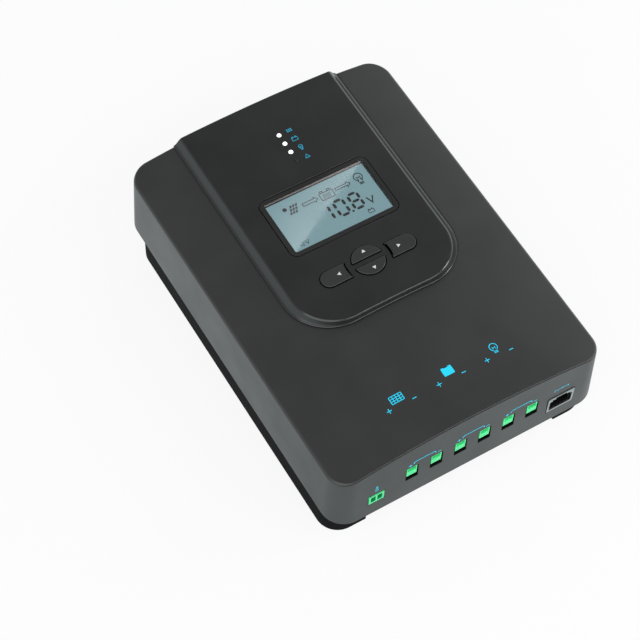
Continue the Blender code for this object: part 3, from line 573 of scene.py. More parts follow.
def settle(obj: Piece) -> None:
    """Turn an object with modifiers into a plain mesh.

    Args:
        obj: The object, whose modifiers are applied.
    """
    graph = bpy.context.evaluated_depsgraph_get()
    mesh = bpy.data.meshes.new_from_object(obj.evaluated_get(graph), depsgraph=graph,
                                           preserve_all_data_layers=True)
    obj.modifiers.clear()
    old = obj.data
    obj.data = mesh
    bpy.data.meshes.remove(old)
    mesh.name = obj.name


def combine(target: Piece, tool: Union[Piece, Shell], how: Join = Join.CUT) -> None:
    """Change a piece with a helper shape of the same materials, which is then removed.

    Args:
        target: The piece.
        tool: The helper, as an object or a mesh in the making.
        how: Whether it is cut out or fused on.
    """
    if isinstance(tool, Shell):
        tool = tool.to_object(*target.data.materials)
    step = target.modifiers.new("step", "BOOLEAN")
    step.operation = how.value
    step.solver = "EXACT"
    step.object = tool
    settle(target)
    bpy.data.objects.remove(tool, do_unlink=True)


def polish(obj: Piece, bevel: float = 0.0) -> Piece:
    """Break a piece's sharp edges and even out its shading.

    Args:
        obj: The piece.
        bevel: Width of the broken edges, or 0 to leave them.

    Returns:
        The same piece, as a plain mesh.
    """
    if bevel:
        step = obj.modifiers.new("broken_edges", "BEVEL")
        step.width = bevel
        step.segments = 2
        step.limit_method = "ANGLE"
        step.angle_limit = BREAK
        settle(obj)
    obj.data.shade_smooth()
    obj.data.set_sharp_from_angle(angle=SHARP)
    even = obj.modifiers.new("even_shading", "WEIGHTED_NORMAL")
    even.keep_sharp = True
    settle(obj)
    return obj


def copied(obj: Piece, name: str, step: Vector) -> Piece:
    """Copy of a piece with its mesh moved by a step.

    Args:
        obj: The piece.
        name: Name of the copy.
        step: How far the copy moves.

    Returns:
        The copy.
    """
    mesh = obj.data.copy()
    mesh.transform(Matrix.Translation(step))
    return linked(name, mesh)


def carry(obj: Piece, body: str, *nodes: str, slot: Optional[Slot] = None) -> None:
    """Hand a finished piece to the frame.

    Args:
        obj: The piece.
        body: Body that it rides on.
        nodes: Solids of the frame that it stands for.
        slot: Not used.
    """
    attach(obj, body)
    if nodes:
        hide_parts(*nodes)
    LOG.info("%s rides on %s with %d faces", obj.name, body, len(obj.data.polygons))


# Rows and grids of repeated pieces

class Repeat(Enum):
    """How copies of a piece are laid out."""

    ROW = "row"
    GRID = "grid"


@lru_cache(maxsize=None)
def repeat_tree(layout: Repeat) -> Tree:
    """Build the node tree that repeats a piece.

    Args:
        layout: Whether the copies stand in a row or on a grid of four.

    Returns:
        The tree, with named inputs for its sizes.
    """
    tree = bpy.data.node_groups.new(f"{layout.value}_of_pieces", "GeometryNodeTree")
    sockets = {"Piece": "Object", "Finish": "Material"}
    if layout is Repeat.ROW:
        sockets.update({"Count": "Int", "Start": "Vector", "Step": "Vector"})
    else:
        sockets.update({"Span X": "Float", "Span Y": "Float"})
    for name, kind in sockets.items():
        tree.interface.new_socket(name, in_out="INPUT", socket_type=f"NodeSocket{kind}")
    tree.interface.new_socket("Geometry", in_out="OUTPUT", socket_type="NodeSocketGeometry")
    graph = Graph(tree)
    given = graph.add("NodeGroupInput").outputs
    if layout is Repeat.ROW:
        points = graph.node("GeometryNodeMeshLine", "Mesh", Count=given["Count"],
                            Start_Location=given["Start"], Offset=given["Step"])
    else:
        points = graph.node("GeometryNodeMeshGrid", "Mesh", Vertices_X=2, Vertices_Y=2,
                            Size_X=given["Span X"], Size_Y=given["Span Y"])
    source = graph.node("GeometryNodeObjectInfo", "Geometry", Object=given["Piece"])
    copies = graph.node("GeometryNodeInstanceOnPoints", "Instances", Points=points,
                        Instance=source)
    real = graph.node("GeometryNodeRealizeInstances", "Geometry", Geometry=copies)
    return graph.close(Geometry=graph.node("GeometryNodeSetMaterial", "Geometry", Geometry=real,
                                           Material=given["Finish"]))


def repeated(piece: Piece, name: str, layout: Repeat,
             **sizes: object) -> Piece:
    """Repeat a piece with a node tree and remove the first one.

    Args:
        piece: The piece, whose own material the copies keep.
        name: Name of the new object.
        layout: Row or grid.
        sizes: Values of the tree's named inputs, with _ for a space.

    Returns:
        One plain mesh of all the copies.
    """
    tree = repeat_tree(layout)
    made = linked(name, bpy.data.meshes.new(name))
    step = made.modifiers.new("repeat", "NODES")
    step.node_group = tree
    finish = piece.data.materials[0] if piece.data.materials else None
    values = {"Piece": piece, "Finish": finish}
    values.update({key.replace("_", " "): value for key, value in sizes.items()})
    for item in tree.interface.items_tree:
        if item.in_out == "INPUT":
            step[item.identifier] = values[item.name]
    settle(made)
    if finish and not made.data.materials:
        made.data.materials.append(finish)
    bpy.data.objects.remove(piece, do_unlink=True)
    return made


# Finishes

class Graph:
    """Nodes of one material, group or world, with short calls to add and join them."""

    def __init__(self, tree: Tree) -> None:
        """Work on a node tree."""
        self.tree = tree

    def add(self, kind: str, **settings: object) -> Node:
        """Add a node of a kind and set its properties.

        Args:
            kind: Type of the node.
            settings: Values of its properties.

        Returns:
            The node.
        """
        node = self.tree.nodes.new(kind)
        for name, value in settings.items():
            setattr(node, name, value)
        return node

    def feed(self, target: Socket, source: Feed) -> None:
        """Join a socket to an output, or set its value.

        Args:
            target: The socket.
            source: An output, a number, a colour or a vector.
        """
        if isinstance(source, Socket):
            self.tree.links.new(source, target)
        elif isinstance(source, (int, float)):
            target.default_value = source
        else:
            count = len(target.default_value)
            target.default_value = tuple(source) + (1.0,) * (count - len(source))

    def dress(self, node: Node, **sockets: Feed) -> Node:
        """Feed a node's named sockets, with _ for a space in their names.

        Args:
            node: The node.
            sockets: What feeds each socket.

        Returns:
            The same node.
        """
        for name, source in sockets.items():
            self.feed(node.inputs[name.replace("_", " ")], source)
        return node

    def node(self, kind: str, output: Union[int, str] = 0, **sockets: Feed) -> Socket:
        """Add a node, feed its named sockets and return one of its outputs."""
        return self.dress(self.add(kind), **sockets).outputs[output]

    def fed(self, kind: str, sources: dict[int, Feed], output: int = 0,
            **settings: object) -> Socket:
        """Add a node and feed its numbered sockets.

        Args:
            kind: Type of the node.
            sources: What feeds each socket, by its number.
            output: Number of the output.
            settings: Values of its properties.

        Returns:
            The output.
        """
        node = self.add(kind, **settings)
        for index, source in sources.items():
            self.feed(node.inputs[index], source)
        return node.outputs[output]

    def math(self, step: str, first: Feed, second: Feed = 0.0, clamp: bool = False) -> Socket:
        """Combine two values."""
        return self.fed("ShaderNodeMath", {0: first, 1: second}, operation=step, use_clamp=clamp)

    def blend(self, share: Feed, first: Feed, second: Feed) -> Socket:
        """Mix two colours by a share."""
        return self.fed("ShaderNodeMix", {0: share, 6: first, 7: second}, 2, data_type="RGBA")

    def span(self, value: Feed, start: float, end: float, low: float, high: float) -> Socket:
        """Map a value from one range to another, clamped."""
        return self.fed("ShaderNodeMapRange", {0: value, 1: start, 2: end, 3: low, 4: high})

    def spread(self, noise: Socket) -> Socket:
        """A noise value spread from 0 to 1."""
        return self.span(noise, 0.3, 0.7, 0.0, 1.0)

    def noise(self, scale: Feed, detail: float = 2.0, place: Optional[Socket] = None) -> Socket:
        """Noise value at a place, or else at the object's own coordinates."""
        return self.node("ShaderNodeTexNoise", Vector=self.place() if place is None else place,
                         Scale=scale, Detail=detail)

    def place(self) -> Socket:
        """Object coordinates."""
        return self.node("ShaderNodeTexCoord", "Object")

    def axes(self, vector: Socket) -> list[Socket]:
        """The three parts of a vector."""
        return list(self.node("ShaderNodeSeparateXYZ", Vector=vector).node.outputs)

    def stretched(self, scale: Triple) -> Socket:
        """Object coordinates scaled on each axis."""
        return self.fed("ShaderNodeVectorMath", {0: self.place(), 1: scale}, operation="MULTIPLY")

    def group(self, tree: Tree, **values: float) -> Mapping[str, Socket]:
        """Place a shared effect with its own values and return its outputs."""
        return self.dress(self.add("ShaderNodeGroup", node_tree=tree), **values).outputs

    def bump(self, height: Socket, distance: float) -> Socket:
        """Surface normal of a relief."""
        return self.node("ShaderNodeBump", Distance=distance, Height=height)

    def close(self, **results: Socket) -> Tree:
        """Join a group's results to its outputs and return its tree."""
        self.dress(self.add("NodeGroupOutput"), **results)
        return self.tree


def new_group(name: str, given: str, *results: str) -> tuple[Graph, Socket]:
    """Start a shared effect.

    Args:
        name: Name of the effect.
        given: Name of its input value.
        results: Names of its output values.

    Returns:
        A graph to build it with, and its input.
    """
    tree = bpy.data.node_groups.new(name, "ShaderNodeTree")
    tree.interface.new_socket(given, in_out="INPUT", socket_type="NodeSocketFloat")
    for item in results:
        tree.interface.new_socket(item, in_out="OUTPUT", socket_type="NodeSocketFloat")
    graph = Graph(tree)
    return graph, graph.node("NodeGroupInput", given)


@lru_cache(maxsize=None)
def spark_grain() -> Tree:
    """Fine spark-eroded grain of a mould: its relief, and a slow drift of tone.

    Returns:
        The effect's tree.
    """
    graph, scale = new_group("spark_grain", "Scale", "Height", "Tone")
    slow = graph.math("MULTIPLY", scale, 0.012)
    return graph.close(Height=graph.noise(scale, 3.0), Tone=graph.noise(slow))


@lru_cache(maxsize=None)
def edge_polish() -> Tree:
    """Mask of the edges that hands have rubbed smooth.

    Returns:
        The effect's tree.
    """
    graph, amount = new_group("edge_polish", "Amount", "Mask")
    mark = graph.add("ShaderNodeAttribute", attribute_name="edge").outputs["Fac"]
    patch = graph.span(graph.noise(160.0, 3.0), 0.3, 0.7, 0.55, 1.0)
    rubbed = graph.math("MULTIPLY", mark, patch)
    return graph.close(Mask=graph.math("MULTIPLY", rubbed, amount, clamp=True))


@lru_cache(maxsize=None)
def settled_dust() -> Tree:
    """Mask of a thin film of dust on the faces that look up.

    Returns:
        The effect's tree.
    """
    graph, amount = new_group("settled_dust", "Amount", "Mask")
    normal = graph.node("ShaderNodeNewGeometry", "Normal")
    up = graph.span(graph.axes(normal)[2], 0.4, 1.0, 0.0, 1.0)
    patch = graph.span(graph.noise(45.0, 5.0), 0.4, 0.75, 0.0, 1.0)
    lying = graph.math("MULTIPLY", up, patch)
    return graph.close(Mask=graph.math("MULTIPLY", lying, amount, clamp=True))


@lru_cache(maxsize=None)
def drawn_lines() -> Tree:
    """Fine lines left by drawing or rolling along Y.

    Returns:
        The effect's tree.
    """
    graph, scale = new_group("drawn_lines", "Scale", "Height", "Tone")
    place = graph.stretched((1.0, 0.03, 1.0))
    slow = graph.math("MULTIPLY", scale, 0.2)
    return graph.close(Height=graph.noise(scale, 2.0, place), Tone=graph.noise(slow, 3.0, place))


def new_material(name: str) -> tuple[Material, Graph, Node]:
    """Start a material.

    Args:
        name: Name of the finish.

    Returns:
        The material, a graph of its nodes, and its main shader.
    """
    item = bpy.data.materials.new(name)
    item.use_nodes = True
    return item, Graph(item.node_tree), item.node_tree.nodes["Principled BSDF"]


def scaled(colour: Colour, factor: float) -> Colour:
    """A colour made lighter or darker."""
    return tuple(min(part * factor, 1.0) for part in colour)


@dataclass(frozen=True)
class Finish:
    """A surface finish, which says what feeds the sockets of its main shader."""

    name: str

    def looks(self, graph: Graph) -> dict[str, Feed]:
        """Feeds of the main shader's sockets."""
        raise NotImplementedError

    def material(self) -> Material:
        """Make the finish's material.

        Returns:
            The material.
        """
        item, graph, shader = new_material(self.name)
        graph.dress(shader, **self.looks(graph))
        return item


@dataclass(frozen=True)
class MouldedPlastic(Finish):
    """Moulded plastic with a fine grain, rubbed edges and a little dust."""

    colour: Colour
    roughness: float = 0.45
    grain: float = 3200.0
    relief: float = 0.00001
    drift: float = 0.05
    rub: float = 0.3
    worn: float = 2.4
    dust: float = 0.006
    specular: float = 0.5

    def looks(self, graph: Graph) -> dict[str, Feed]:
        """Feeds of the plastic's shader.

        Args:
            graph: Nodes of the material.

        Returns:
            What feeds each socket.
        """
        grain = graph.group(spark_grain(), Scale=self.grain)
        rub = graph.group(edge_polish(), Amount=self.rub)["Mask"]
        dust = graph.group(settled_dust(), Amount=self.dust)["Mask"]
        tone = graph.spread(grain["Tone"])
        base = graph.blend(tone, scaled(self.colour, 1 - self.drift),
                           scaled(self.colour, 1 + self.drift))
        base = graph.blend(rub, base, scaled(self.colour, self.worn))
        rough = graph.span(tone, 0.0, 1.0, self.roughness - 0.04, self.roughness + 0.04)
        smooth = graph.math("MULTIPLY", rub, 0.25)
        return {"Base_Color": graph.blend(dust, base, (0.42, 0.41, 0.39)),
                "Roughness": graph.math("SUBTRACT", rough, smooth, clamp=True),
                "Normal": graph.bump(grain["Height"], self.relief),
                "Specular_IOR_Level": self.specular}


@dataclass(frozen=True)
class PlatedMetal(Finish):
    """Plated or polished metal with fine drawn lines."""

    colour: Colour
    roughness: float = 0.3
    lines: float = 5000.0
    relief: float = 0.000004

    def looks(self, graph: Graph) -> dict[str, Feed]:
        """Feeds of the metal's shader.

        Args:
            graph: Nodes of the material.

        Returns:
            What feeds each socket.
        """
        lines = graph.group(drawn_lines(), Scale=self.lines)
        rub = graph.group(edge_polish(), Amount=0.6)["Mask"]
        tone = graph.spread(lines["Tone"])
        base = graph.blend(tone, scaled(self.colour, 0.82), self.colour)
        return {"Base_Color": graph.blend(rub, base, scaled(self.colour, 1.25)),
                "Roughness": graph.span(tone, 0.0, 1.0, self.roughness + 0.08,
                                        self.roughness - 0.06),
                "Normal": graph.bump(lines["Height"], self.relief),
                "Metallic": 1.0}


@dataclass(frozen=True)
class AnodisedSink(Finish):
    """Black anodised casting with drawn lines, a cast grain and a little dust."""

    colour: Colour
    roughness: float = 0.68
    specular: float = 0.03

    def looks(self, graph: Graph) -> dict[str, Feed]:
        """Feeds of the casting's shader.

        Args:
            graph: Nodes of the material.

        Returns:
            What feeds each socket.
        """
        lines = graph.group(drawn_lines(), Scale=2600.0)
        grain = graph.group(spark_grain(), Scale=1900.0)
        dust = graph.group(settled_dust(), Amount=0.02)["Mask"]
        tone = graph.spread(lines["Tone"])
        base = graph.blend(tone, scaled(self.colour, 0.75), scaled(self.colour, 1.3))
        relief = graph.math("ADD", grain["Height"], graph.math("MULTIPLY", lines["Height"], 0.6))
        return {"Base_Color": graph.blend(dust, base, (0.3, 0.3, 0.29)),
                "Roughness": graph.span(tone, 0.0, 1.0, self.roughness - 0.06,
                                        self.roughness + 0.06),
                "Normal": graph.bump(relief, 0.00002),
                "Specular_IOR_Level": self.specular}


@dataclass(frozen=True)
class ClearPane(Finish):
    """Clear window with a faint smear on its face."""

    roughness: float = 0.03

    def looks(self, graph: Graph) -> dict[str, Feed]:
        """Feeds of the window's shader.

        Args:
            graph: Nodes of the material.

        Returns:
            What feeds each socket.
        """
        smear = graph.noise(60.0, 4.0, graph.stretched((1.0, 0.5, 1.0)))
        share = graph.span(smear, 0.4, 0.8, 0.0, 0.5)
        return {"Roughness": graph.span(smear, 0.35, 0.75, self.roughness * 0.5,
                                        self.roughness * 1.6),
                "Base_Color": graph.blend(share, (0.97, 0.98, 0.98), (0.92, 0.94, 0.94)),
                "Transmission_Weight": 1.0, "IOR": 1.46}


@dataclass(frozen=True)
class Glowing(Finish):
    """A finish with a glow of its own where it is bright."""

    colour: Colour

    def glowing(self, base: Socket, rough: Socket, glow: float) -> dict[str, Feed]:
        """Feeds of a shader with a base colour, a roughness and a glow.

        Args:
            base: Base colour.
            rough: Roughness.
            glow: Strength of the glow.

        Returns:
            What feeds each socket.
        """
        looks = {"Base_Color": base, "Roughness": rough}
        if glow:
            looks.update(Emission_Color=base, Emission_Strength=glow)
        return looks


@dataclass(frozen=True)
class PrintInk(Glowing):
    """Screen-printed ink, a little uneven."""

    roughness: float = 0.5
    # A glow above 0 is painted light: the ink shines though it is no lamp.
    glow: float = 0.0

    def looks(self, graph: Graph) -> dict[str, Feed]:
        """Feeds of the ink's shader.

        Args:
            graph: Nodes of the material.

        Returns:
            What feeds each socket.
        """
        cover = graph.spread(graph.noise(2400.0))
        base = graph.blend(cover, scaled(self.colour, 0.82), self.colour)
        rough = graph.span(cover, 0.0, 1.0, self.roughness + 0.1, self.roughness - 0.05)
        return self.glowing(base, rough, self.glow)


@dataclass(frozen=True)
class LitPipe(Glowing):
    """Light-guiding plastic, lit from below or dark."""

    glow: float

    def looks(self, graph: Graph) -> dict[str, Feed]:
        """Feeds of the light pipe's shader.

        Args:
            graph: Nodes of the material.

        Returns:
            What feeds each socket.
        """
        cloud = graph.spread(graph.noise(900.0))
        base = graph.blend(cloud, scaled(self.colour, 0.85), self.colour)
        return self.glowing(base, graph.span(cloud, 0.0, 1.0, 0.12, 0.2), self.glow)


@dataclass(frozen=True)
class LiquidCrystal(Finish):
    """Backlit liquid crystal film, paler towards the lamp at one side."""

    near: Colour
    far: Colour
    centre: Point
    half_width: float

    def looks(self, graph: Graph) -> dict[str, Feed]:
        """Feeds of the film's shader.

        Args:
            graph: Nodes of the material.

        Returns:
            What feeds each socket.
        """
        x, y, _ = graph.axes(graph.place())
        slope = graph.math("SUBTRACT", y, graph.math("MULTIPLY", x, 0.35))
        share = graph.span(slope, self.centre[1] - self.half_width,
                           self.centre[1] + self.half_width, 0.0, 1.0)
        fine = graph.spread(graph.noise(2600.0))
        base = graph.blend(share, self.near, self.far)
        faint = graph.math("MULTIPLY", fine, 0.05)
        return {"Emission_Color": graph.blend(faint, base, scaled(self.near, 0.7)),
                "Emission_Strength": 1.0, "Base_Color": (0.02, 0.025, 0.026),
                "Roughness": graph.span(fine, 0.0, 1.0, 0.3, 0.4)}


@dataclass(frozen=True)
class PatternedFinish(Finish):
    """Finish of a piece inside the case, with the pattern of its make."""

    colour: Colour
    accent: Colour
    pattern: Pattern
    roughness: float = 0.5
    metallic: float = 0.0

    def mask(self, graph: Graph) -> tuple[Socket, Socket]:
        """Lay out the pattern.

        Args:
            graph: Nodes of the material.

        Returns:
            The accent's share and the relief's height.
        """
        place = graph.place()
        x, y, z = graph.axes(place)

        def wave(value: Socket, scale: float) -> Socket:
            """Sine of a scaled value."""
            return graph.math("SINE", graph.math("MULTIPLY", value, scale))

        if self.pattern is Pattern.TRACES:
            cells = graph.node("ShaderNodeTexBrick", "Fac", Vector=place, Scale=45.0,
                               Mortar_Size=0.035)
            wander = graph.span(graph.noise(220.0, 1.0), 0.52, 0.54, 0.0, 1.0)
            share = graph.math("MAXIMUM", cells, wander)
            return share, share
        if self.pattern is Pattern.SLEEVE:
            return graph.span(wave(x, 240.0), 0.93, 0.95, 0.0, 1.0), graph.noise(900.0)
        if self.pattern is Pattern.SPECKLE:
            fine = graph.noise(2200.0, 3.0)
            return graph.span(fine, 0.55, 0.75, 0.0, 1.0), fine
        if self.pattern is Pattern.RIBBON:
            ridge = wave(x, 2 * math.pi / RIBBON_PITCH)
        else:
            swirl = wave(graph.math("ADD", graph.math("ARCTAN2", y, x), z), 900.0)
            turns = wave(graph.math("ADD", x, y), 3600.0)
            ridge = graph.math("ADD", graph.math("MULTIPLY", swirl, 0.2), turns)
        return graph.span(ridge, -1.0, 1.0, 0.0, 1.0), ridge

    def looks(self, graph: Graph) -> dict[str, Feed]:
        """Feeds of the patterned shader.

        Args:
            graph: Nodes of the material.

        Returns:
            What feeds each socket.
        """
        share, height = self.mask(graph)
        drift = graph.span(graph.noise(70.0, 3.0), 0.3, 0.7, 0.0, 0.35)
        base = graph.blend(drift, self.colour, scaled(self.colour, 0.75))
        return {"Base_Color": graph.blend(share, base, self.accent),
                "Roughness": graph.span(share, 0.0, 1.0, self.roughness, self.roughness * 0.75),
                "Normal": graph.bump(height, 0.00003), "Metallic": self.metallic}


@dataclass
class FinishLibrary:
    """The finishes that the controller's pieces share."""

    cover: Finish = MouldedPlastic("cover_moulding", (0.0130, 0.0133, 0.0133), 0.42, rub=0.2,
                                   specular=0.86)
    panel: Finish = MouldedPlastic("panel_moulding", (0.0108, 0.0110, 0.0110), 0.42, 3600.0,
                                   0.000006)
    bevel: Finish = MouldedPlastic("panel_bevel", (0.012, 0.0142, 0.0142), 0.2, 3000.0, 0.000001,
                                   rub=0.4, worn=1.5, dust=0.0, specular=0.75)
    # Black of the data jack's insert, which is its own colour; the same black on the inner walls of
    # openings, the keys' sides and the panel's skirt is painted shade.
    gap: Finish = MouldedPlastic("shadow_gap", (0.003, 0.003, 0.003), 0.7, specular=0.1)
    key: Finish = MouldedPlastic("key_moulding", (0.024, 0.0245, 0.025), 0.38, 3600.0, 0.000004,
                                 rub=0.7)
    sink: Finish = AnodisedSink("anodised_sink", (0.008, 0.008, 0.0086))
    pane: Finish = ClearPane("window_pane")
    bezel: Finish = MouldedPlastic("window_border", (0.0108, 0.0110, 0.0110), 0.42, 3600.0,
                                   0.000004, rub=0.0)
    # These inks glow though they are no lamp: painted light.
    cyan: Finish = PrintInk("cyan_ink", (0.01, 0.66, 0.95), 0.5, 0.25)
    blue: Finish = PrintInk("blue_ink", (0.02, 0.40, 0.62), 0.5, 0.12)
    white: Finish = PrintInk("white_ink", (0.85, 0.85, 0.85), 0.5)
    film: Finish = LiquidCrystal("crystal_film", (0.172, 0.301, 0.335), (0.182, 0.311, 0.345),
                                 (0.0, 0.034), 0.03)
    segment: Finish = PrintInk("crystal_segment", (0.014, 0.009, 0.007), 0.4)
    # Glowing pale strip behind the film: a painted highlight.
    strip: Finish = PrintInk("film_border", (0.40, 0.34, 0.34), 0.5, 0.28)
    # Glass edge colour paled to stand in for light that the pane and bezel keep from it: painted
    # light.
    glass_edge: Finish = MouldedPlastic("crystal_glass_edge", (0.09, 0.11, 0.11), 0.25)
    lit: Finish = LitPipe("light_on", (0.95, 0.97, 1.0), 1.6)
    unlit: Finish = LitPipe("light_off", (0.012, 0.012, 0.013), 0.0)
    terminal: Finish = MouldedPlastic("terminal_moulding", (0.075, 0.84, 0.30), 0.38, 2400.0,
                                      0.000006, rub=0.3, worn=1.15, dust=0.0)
    # Darker copy of the terminal green, painted shade in the throats of the sensor holes.
    throat: Finish = MouldedPlastic("socket_throat", (0.008, 0.38, 0.14), 0.5)
    zinc: Finish = PlatedMetal("zinc_plating", (0.66, 0.67, 0.68), 0.3)
    jack: Finish = PlatedMetal("jack_shield", (0.42, 0.44, 0.44), 0.32)
    gold: Finish = PlatedMetal("gold_contact", (0.86, 0.62, 0.24), 0.25)
    board: Finish = PatternedFinish("board_mask", (0.012, 0.11, 0.04), (0.02, 0.2, 0.07),
                                    Pattern.TRACES, 0.4)
    winding: Finish = PatternedFinish("copper_winding", (0.5, 0.2, 0.06), (0.72, 0.36, 0.14),
                                      Pattern.WINDING, 0.35, 0.8)
    sleeve: Finish = PatternedFinish("capacitor_sleeve", (0.012, 0.012, 0.014),
                                     (0.45, 0.45, 0.46), Pattern.SLEEVE, 0.35)
    ribbon: Finish = PatternedFinish("ribbon_sheath", (0.42, 0.42, 0.42), (0.52, 0.52, 0.52),
                                     Pattern.RIBBON, 0.6)
    pad: Finish = PatternedFinish("thermal_pad", (0.34, 0.42, 0.5), (0.42, 0.5, 0.57),
                                  Pattern.SPECKLE, 0.8)
    epoxy: Finish = PatternedFinish("epoxy_body", (0.012, 0.012, 0.012), (0.02, 0.02, 0.02),
                                    Pattern.SPECKLE, 0.55)
    ivory: Finish = PatternedFinish("white_moulding", (0.76, 0.76, 0.73), (0.8, 0.8, 0.78),
                                    Pattern.SPECKLE, 0.45)
    made: dict[str, Material] = field(default_factory=dict)

    def get(self, name: str) -> Material:
        """Material of a finish, made on its first use.

        Args:
            name: Field of the finish.

        Returns:
            The material.
        """
        if name not in self.made:
            self.made[name] = getattr(self, name).material()
        return self.made[name]

    def some(self, *names: str) -> list[Material]:
        """Materials of several finishes."""
        return [self.get(name) for name in names]


# Printed marks

@dataclass
class SymbolPrinter:
    """Lays thin printed symbols on a surface."""

    shell: Shell
    surface: Surface
    line: float = 0.00045
    film: float = 0.00005
    sink: float = 0.00003
    slot: int = 0

    def polygon(self, points: Sequence[Point]) -> None:
        """Print a filled outline.

        Args:
            points: The outline on the surface.
        """
        low = [self.surface.place(u, v, -self.sink) for u, v in points]
        high = [self.surface.place(u, v, self.film) for u, v in points]
        self.shell.loft([low, high], slot=self.slot)

    def shape(self, at: Point, points: Sequence[Point], filled: bool) -> None:
        """Print an outline about a place, filled or as a closed line.

        Args:
            at: Place of the outline's origin.
            points: The outline.
            filled: Whether it is filled.
        """
        if filled:
            self.polygon(moved(points, *at))
        else:
            self.path(moved(points, *at), closed=True)

    def path(self, points: Sequence[Point], closed: bool = False,
             line: Optional[float] = None) -> None:
        """Print a line.

        Args:
            points: Points that the line follows.
            closed: Whether it runs back to its start.
            line: Width, where it differs from the printer's own.
        """
        half = (line or self.line) / 2
        count = len(points)
        left, right = [], []
        for index, point in enumerate(points):
            here = Vector(point)
            back = Vector(points[index - 1]) if index or closed else None
            ahead = Vector(points[(index + 1) % count]) if index < count - 1 or closed else None
            into = (here - back).normalized() if back is not None else None
            out = (ahead - here).normalized() if ahead is not None else None
            first, second = into or out, out or into
            side = Vector((-first.y, first.x)) + Vector((-second.y, second.x))
            side = side * (2 / max(side.length_squared, 0.8))
            left.append(here + side * half)
            right.append(here - side * half)
        place = self.surface.place
        sections = [[place(*a, -self.sink), place(*b, -self.sink), place(*b, self.film),
                     place(*a, self.film)] for a, b in zip(left, right)]
        loops = self.shell.loft(sections, slot=self.slot, caps=(not closed, not closed))
        if closed:
            self.shell.bridge(loops[-1], loops[0], self.slot)

    def plus(self, at: Point, size: float) -> None:
        """Print a plus sign.

        Args:
            at: Middle of the sign.
            size: Length of its bars.
        """
        a, b = size / 2, self.line / 2
        ring = [(a, -b), (a, b), (b, b), (b, a), (-b, a), (-b, b), (-a, b), (-a, -b), (-b, -b),
                (-b, -a), (b, -a), (b, -b)]
        self.shape(at, ring, True)

    def minus(self, at: Point, size: float) -> None:
        """Print a minus sign."""
        self.path([(at[0] - size / 2, at[1]), (at[0] + size / 2, at[1])])

    def solar_cells(self, at: Point, width: float, height: float, columns: int, rows: int,
                    slant: float = 0.0, gap: float = 0.0004) -> None:
        """Print a solar module as a block of filled cells.

        Args:
            at: Middle of the block.
            width: Size across.
            height: Size up.
            columns: Cells across.
            rows: Cells up.
            slant: Shift of the upper edge for each unit of height.
            gap: Space between the cells.
        """
        step_u, step_v = width / columns, height / rows
        for column in range(columns):
            for row in range(rows):
                u0 = at[0] - width / 2 + column * step_u + gap / 2
                v0 = at[1] - height / 2 + row * step_v + gap / 2
                u1, v1 = u0 + step_u - gap, v0 + step_v - gap
                cell = [(u0, v0), (u1, v0), (u1, v1), (u0, v1)]
                self.polygon([(u + slant * (v - at[1]), v) for u, v in cell])

    def solar_frame(self, at: Point, width: float, height: float, columns: int,
                    rows: int) -> None:
        """Print a solar module as a grid of lines.

        Args:
            at: Middle of the module.
            width: Size across.
            height: Size up.
            columns: Cells across.
            rows: Cells up.
        """
        x0, x1 = at[0] - width / 2, at[0] + width / 2
        y0, y1 = at[1] - height / 2, at[1] + height / 2
        for column in range(columns + 1):
            u = x0 + (x1 - x0) * column / columns
            self.path([(u, y0), (u, y1)])
        for row in range(rows + 1):
            v = y0 + (y1 - y0) * row / rows
            self.path([(x0, v), (x1, v)])

    def battery(self, at: Point, width: float, height: float, filled: bool) -> None:
        """Print a battery with two posts, filled or in outline.

        Args:
            at: Middle of the case.
            width: Size across.
            height: Size up.
            filled: Whether case and posts are filled.
        """
        ring = [(-width / 2, -height / 2), (width / 2, -height / 2), (width / 2, height / 2),
                (-width / 2, height / 2)]
        self.shape(at, softened(ring, height * 0.12, 3), filled)
        reach, half, rise = (0.34, 0.14, 0.11) if filled else (0.27, 0.09, 0.26)
        foot, top = at[1] + height / 2, at[1] + height * (0.5 + rise)
        for side in (-1, 1):
            u = at[0] + side * width * reach
            post = [(u + width * half, foot), (u + width * half, top), (u - width * half, top),
                    (u - width * half, foot)]
            if filled:
                self.polygon(post)
            else:
                self.path(post)

    def bulb(self, at: Point, radius: float, drop: float = 1.35) -> None:
        """Print a lamp bulb in outline, with its filament and its cap a drop below.

        Args:
            at: Middle of the glass.
            radius: Radius of the glass.
            drop: Radii from there down to the cap.
        """
        ring = arc(at, radius, -58, 238, 18)
        neck = radius * 0.53
        foot = at[1] - radius * drop
        self.path([(at[0] + neck, foot)] + ring + [(at[0] - neck, foot)])
        for step in range(2):
            v = foot - radius * (0.28 + 0.36 * step)
            self.path([(at[0] - neck, v), (at[0] + neck, v)], line=self.line * 1.1)
        self.path([(at[0] - radius * 0.3, foot + radius * 0.3),
                   (at[0] - radius * 0.4, at[1] + radius * 0.05),
                   (at[0], at[1] - radius * 0.3),
                   (at[0] + radius * 0.4, at[1] + radius * 0.05),
                   (at[0] + radius * 0.3, foot + radius * 0.3)], line=self.line * 0.8)

    def triangle(self, at: Point, size: float, turn: float, filled: bool = True) -> None:
        """Print a triangle that points along a turn in degrees."""
        ring = arc((0.0, 0.0), size, turn, turn + 240, 2)
        self.shape(at, softened(ring, size * 0.08, 2) if filled else ring, filled)

    def arrow(self, tail: Point, tip: Point, shaft: float, head: float) -> None:
        """Print an arrow in outline, level along u.

        Args:
            tail: Middle of the tail.
            tip: Point of the head.
            shaft: Half width of the shaft.
            head: Length and half width of the head.
        """
        neck = tip[0] - head
        self.path([(tail[0], tail[1] - shaft), (neck, tip[1] - shaft), (neck, tip[1] - head), tip,
                   (neck, tip[1] + head), (neck, tip[1] + shaft), (tail[0], tail[1] + shaft)],
                  closed=True)

